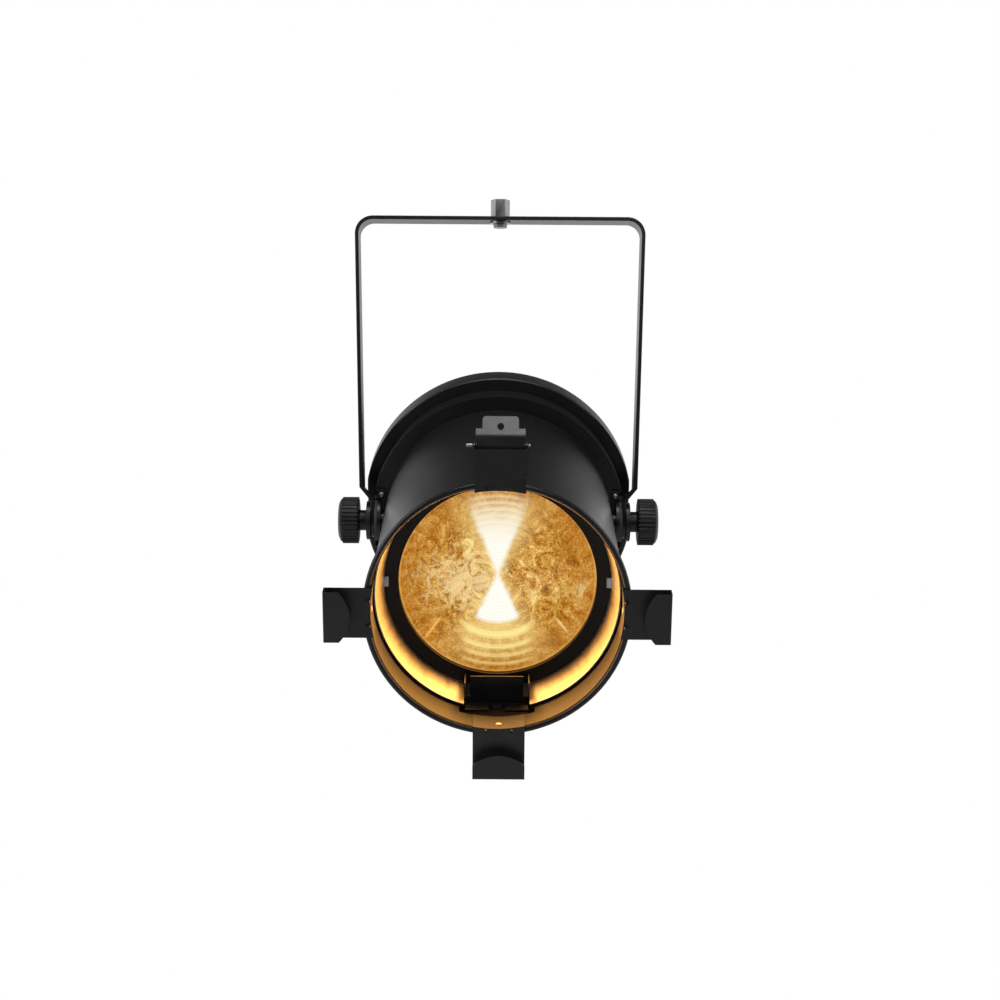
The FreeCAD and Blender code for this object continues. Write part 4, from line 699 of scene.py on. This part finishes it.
end_finish(nodes, Base_Color=(0.03, 0.022, 0.012), Roughness=0.16, Coat_Weight=0.6,
           Coat_Roughness=0.05, Emission_Color=lit, Emission_Strength=1.0,
           Normal=nodes.bump(stipple, 0.0002, 0.3))
lens_shape = turned(profile, 128)
lens_shape.transform(Matrix.Rotation(math.radians(-90), 4, "X"))
lens = add_piece("fresnel_lens_glass", lens_shape)
fix(lens, glow, "fresnel_lens", in_lamp=True, angle=30)

spill_gap = 0.0012
inner_light = bpy.data.lights.new("beam_spill", "AREA")
inner_light.shape = "DISK"
inner_light.size = 0.148
inner_light.energy = 0.30
inner_light.color = (1.0, 0.42, 0.08)
spill = bpy.data.objects.new("beam_spill", inner_light)
spill.parent = lens
before_lens = Matrix.Translation((0, lens_low.y - spill_gap, 0))
spill.matrix_world = lamp_frame @ before_lens @ Matrix.Rotation(math.radians(-90), 4, "X")
spill.visible_camera = False
bpy.context.scene.collection.objects.link(spill)

# ---------------------------------------------------------------- lens carriage
# A short aluminium sleeve slides in the tube and holds the lens between a black ring and a
# retainer. A folded bracket across its lower opening carries the nut of the locking knob.


def bare_aluminium(name, tone=0.6, rough=0.3, way=(1, 1, 1)):
    """Mill-finish aluminium with drawn lines along one way."""
    material, nodes = begin_finish(name)
    drawn = nodes.add("ShaderNodeMapping", {}, {"Vector": nodes.place(), "Scale": way})
    lines = nodes.noise(800, 3, 0.6, drawn)
    cloud = nodes.noise(40, 3, 0.6)
    dull = (tone * 0.85, tone * 0.85, tone * 0.86)
    bright = (tone * 1.08, tone * 1.08, tone * 1.08)
    tint = nodes.between(cloud, dull, bright)
    end_finish(nodes, Base_Color=tint, Metallic=1.0, Roughness=rough + 0.2 * (lines - 0.5),
               Normal=nodes.bump(lines, 0.00003, 0.5))
    return material


sleeve_metal = bare_aluminium("sleeve_aluminium", 0.62, 0.36, (1, 0.05, 1))
eased("carriage_sleeve", sleeve_metal, 0.0002, 2)
matt_coat = powder_coat("lens_ring_powder", 0.004, 0.55)
eased("lens_ring", matt_coat, 0.0002, 2)
eased("lens_retainer", matt_coat, 0.0002, 2)
eased("zoom_bracket", clip_finish, 0.0003, 2)
eased("zoom_nut", zinc, 0.0003)

# ---------------------------------------------------------------- zoom channel, knob and screw
# A folded steel channel under the tube guides the carriage's screw along a slot. A small ribbed
# plastic knob, moulded over the screw, is turned up against the channel to lock the carriage.

eased("zoom_channel", coat, 0.0004, 2)
knob_low, knob_high = lamp_box("zoom_knob")
knob_radius = (knob_high.x - knob_low.x) / 2
knob_middle = (knob_low.y + knob_high.y) / 2
knob_top = knob_high.z
knob_bottom = knob_low.z
neck = 0.0065
neck_height = 0.004
small_ease = 0.001
small_rib = 0.0008
small_rib_count = 24
rib_rise = 0.0022
rib_shortfall = 0.0035
grip_top = knob_top - neck_height
core = knob_radius - small_rib
profile = [(knob_top, 0), (knob_top, neck), (grip_top + neck_ease, neck), (grip_top, neck + neck_ease),
           (grip_top, core - small_ease), (grip_top - small_ease, core), (knob_bottom + rib_rise, core),
           (knob_bottom + 0.0006, core - 0.0012), (knob_bottom, core - 0.003),
           (knob_bottom, core * 0.6), (knob_bottom + 0.0006, core * 0.56), (knob_bottom + 0.0006, 0)]
rib_length = grip_top - knob_bottom - rib_shortfall
ribs = grip_ribs("zoom_knob_ribs", plastic, small_rib_count, core, small_rib, rib_length)
ribs.transform(Matrix.Translation((0, 0, knob_bottom + rib_rise)))
shape = joined("zoom_knob_shape", turned(profile, 72), ribs)
shape.transform(Matrix.Translation((0, knob_middle, 0)))
fix(add_piece("zoom_knob_moulded", shape), plastic, "zoom_knob", in_lamp=True, angle=28)
eased("zoom_screw", zinc, 0.0004)

# ---------------------------------------------------------------- front ring and pivot brackets
# A die-cast ring, powder coated, takes the tube. Two folded steel brackets are screwed to it, and the
# knobs' studs screw into them.


def cast_coat(name):
    """Die-cast aluminium under powder: the casting's skin shows as a soft pebble."""
    material, nodes = begin_finish(name)
    skin = nodes.noise(420, 4, 0.6)
    cloud = nodes.noise(14, 4, 0.5)
    fleck = nodes.noise(1100, 2, 0.5).from_to(0.64, 0.74)
    tint = nodes.between(cloud, (0.0075, 0.0075, 0.0082), (0.013, 0.013, 0.0142))
    tint = nodes.between(fleck * 0.3, tint, (0.045, 0.045, 0.048))
    end_finish(nodes, Base_Color=tint, Roughness=0.40 + 0.14 * (cloud - 0.5),
               Normal=nodes.bump(skin, 0.00012, 0.35))
    return material


cast = cast_coat("cast_black_powder")
eased("front_ring", cast, 0.0006, 3)
eased("pivot_bracket_left", coat, 0.0004, 2)
eased("pivot_bracket_right", coat, 0.0004, 2)
screw_low, screw_high = lamp_box("bracket_screws")
ahead = Vector((0, -1, 0))
head_radius = 0.0027
screw_height = 0.0018
head_side = screw_high.x - head_radius
head_rise = screw_high.z - head_radius
screw_places = []
for sideways in (head_side, -head_side):
    for height in (head_rise, -head_rise):
        screw_places.append((Vector((sideways, screw_low.y + screw_height, height)), ahead))
bracket_heads = head_row("bracket_screw_heads", screw_places, zinc, head_radius, screw_height, True)
fix(add_piece("bracket_screw_set", bracket_heads), None, "bracket_screws", in_lamp=True)

# ---------------------------------------------------------------- rear housing
# One aluminium die casting, powder coated: a drum, a coned shoulder and a barrel. The slots round the
# barrel let air in and out for the heat sink.

eased("rear_housing", cast, 0.0008, 3)

# ---------------------------------------------------------------- light engine
# A finned aluminium heat sink carries the diode's board, its clip-on holder and a spun reflector,
# with a black baffle round the beam.

bare_metal_and_tab_sheen = bare_aluminium("extruded_aluminium", 0.55, 0.34, (1, 0.06, 1))
eased("heat_sink", bare_metal_and_tab_sheen, 0.0002, 2)


def lacquered_board(name):
    """Green solder mask with darker tracks and tinned pads."""
    material, nodes = begin_finish(name)
    bricks = nodes.add("ShaderNodeTexBrick", {"offset": 0.5},
                       {"Vector": nodes.place(), "Color1": (0.02, 0.13, 0.05), "Color2": (0.015, 0.10, 0.04),
                        "Mortar": (0.03, 0.19, 0.07), "Scale": 160.0, "Mortar Size": 0.04})
    pads = nodes.add("ShaderNodeTexVoronoi", {"feature": "F1"}, {"Vector": nodes.place(), "Scale": 210.0})
    tinned = pads.from_to(0.24, 0.18)
    end_finish(nodes, Base_Color=nodes.between(tinned, bricks, (0.55, 0.54, 0.50)), Metallic=tinned,
               Roughness=0.28 + 0.1 * nodes.noise(300), Coat_Weight=0.4,
               Normal=nodes.bump(tinned, 0.0001, 0.5))
    return material


board = lacquered_board("lacquered_board")
eased("led_board", board, 0.0002)
phosphor, nodes = begin_finish("phosphor_dome")
grain = nodes.noise(1800, 2)
end_finish(nodes, Base_Color=nodes.between(grain, (0.85, 0.55, 0.10), (0.95, 0.68, 0.20)), Roughness=0.2,
           Coat_Weight=1.0, Emission_Color=nodes.between(grain, (1.0, 0.75, 0.35), (1.0, 0.85, 0.5)),
           Emission_Strength=2.0)
eased("led_emitter", phosphor, 0.0003)
eased("led_holder", plastic, 0.0004)
mirror_finish, nodes = begin_finish("spun_reflector")
spun = nodes.add("ShaderNodeMapping", {}, {"Vector": nodes.place(), "Scale": (0.2, 6, 0.2)})
lines = nodes.noise(500, 2, 0.5, spun)
end_finish(nodes, Base_Color=nodes.between(lines, (0.80, 0.77, 0.70), (0.92, 0.89, 0.82)), Metallic=1.0,
           Roughness=0.10 + 0.06 * lines, Normal=nodes.bump(lines, 0.00002, 0.3))
eased("reflector", mirror_finish, 0.0002)
eased("light_baffle", matt_coat, 0.0002)

# ---------------------------------------------------------------- fan
# A square-framed fan of moulded black plastic stands behind the heat sink and blows through the fins.
# Its hub and blades are one moulding.

eased("fan_frame", plastic, 0.0005, 3)
eased("fan_rotor", plastic, 0.0003, 2)

# ---------------------------------------------------------------- driver board and its parts
# The board carries a wound coil in varnished copper and three tall capacitors in printed sleeves.

eased("supply_board", board, 0.0002)
wire, nodes = begin_finish("varnished_copper")
wire_pitch = 0.0009
turns = (nodes.split(nodes.place())[2] * (2 * math.pi / wire_pitch)).sine() * 0.5 + 0.5
# The turn profile drives colour, roughness and bump; the darker copper in the grooves between turns is painted
# shade.
end_finish(nodes, Base_Color=nodes.between(turns, (0.28, 0.09, 0.03), (0.62, 0.27, 0.10)), Metallic=0.9,
           Roughness=0.28 + 0.1 * turns, Coat_Weight=0.6, Normal=nodes.bump(turns, 0.0004, 0.9))
eased("supply_coil", wire, 0.0015, 4)
eased("supply_capacitors", plastic, 0.0006, 3)
eased("control_board", board, 0.0002)

# ---------------------------------------------------------------- rear panel
# A black panel screwed into the barrel carries the display, four keys, a fuse and two pairs of
# sockets, with a plated eye for the safety bond below them.

eased("rear_panel", coat, 0.0004, 2)
dark_window, nodes = begin_finish("display_window")
x_way, _, z_way = nodes.split(lamp_place(nodes))
window_low, window_high = lamp_box("display_window")
glass_half = (window_high.x - window_low.x) / 2
screen_margin = 0.005
bar_pitch = 0.0045
inset = (abs(x_way) - (glass_half - screen_margin)).from_to(0.0004, 0.0)
cells = nodes.noise(1600, 1) * 0.3 + 0.7
bars = (z_way * (2 * math.pi / bar_pitch)).sine().from_to(0.2, 0.6)
end_finish(nodes, Base_Color=nodes.between(inset, (0.006, 0.007, 0.008), (0.01, 0.03, 0.05)),
           Roughness=0.07 + 0.03 * cells, Coat_Weight=1.0,
           Emission_Color=nodes.between(inset * bars * cells, (0, 0, 0), (0.05, 0.22, 0.45)),
           Emission_Strength=0.5)
eased("display_window", dark_window, 0.0004)
rubber = moulded_plastic("grey_rubber_key", (0.20, 0.20, 0.21), 0.62, 0.8)
for key in ("menu", "down", "up", "enter"):
    eased("button_" + key, rubber, 0.0008, 3)
blue = moulded_plastic("blue_inlet", (0.012, 0.07, 0.34), 0.30, 0.3)
grey = moulded_plastic("grey_outlet", (0.34, 0.35, 0.36), 0.34, 0.3)
eased("power_inlet", blue, 0.0006, 3)
eased("power_outlet", grey, 0.0006, 3)
eased("data_input", zinc, 0.0006, 3)
eased("data_output", zinc, 0.0006, 3)
eased("fuse_holder", plastic, 0.0004)
eased("fuse_cap", plastic, 0.0004)
eased("safety_eye", zinc, 0.0008, 4)
panel_low, panel_high = lamp_box("panel_screws")
behind = Vector((0, 1, 0))
panel_head_radius = 0.003
panel_screw_count = 5
panel_middle = sum(lamp_box("rear_panel")[side].z for side in range(2)) / 2
reach_out = panel_high.z - panel_middle - panel_head_radius
screw_places = []
for index in range(panel_screw_count):
    turn = math.radians(90 + 360 / panel_screw_count * index)
    point = Vector((reach_out * math.cos(turn), panel_low.y, panel_middle + reach_out * math.sin(turn)))
    screw_places.append((point, behind))
panel_heads = head_row("panel_screw_heads", screw_places, zinc, panel_head_radius, screw_height, True)
fix(add_piece("panel_screw_set", panel_heads), None, "panel_screws", in_lamp=True)

low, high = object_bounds()
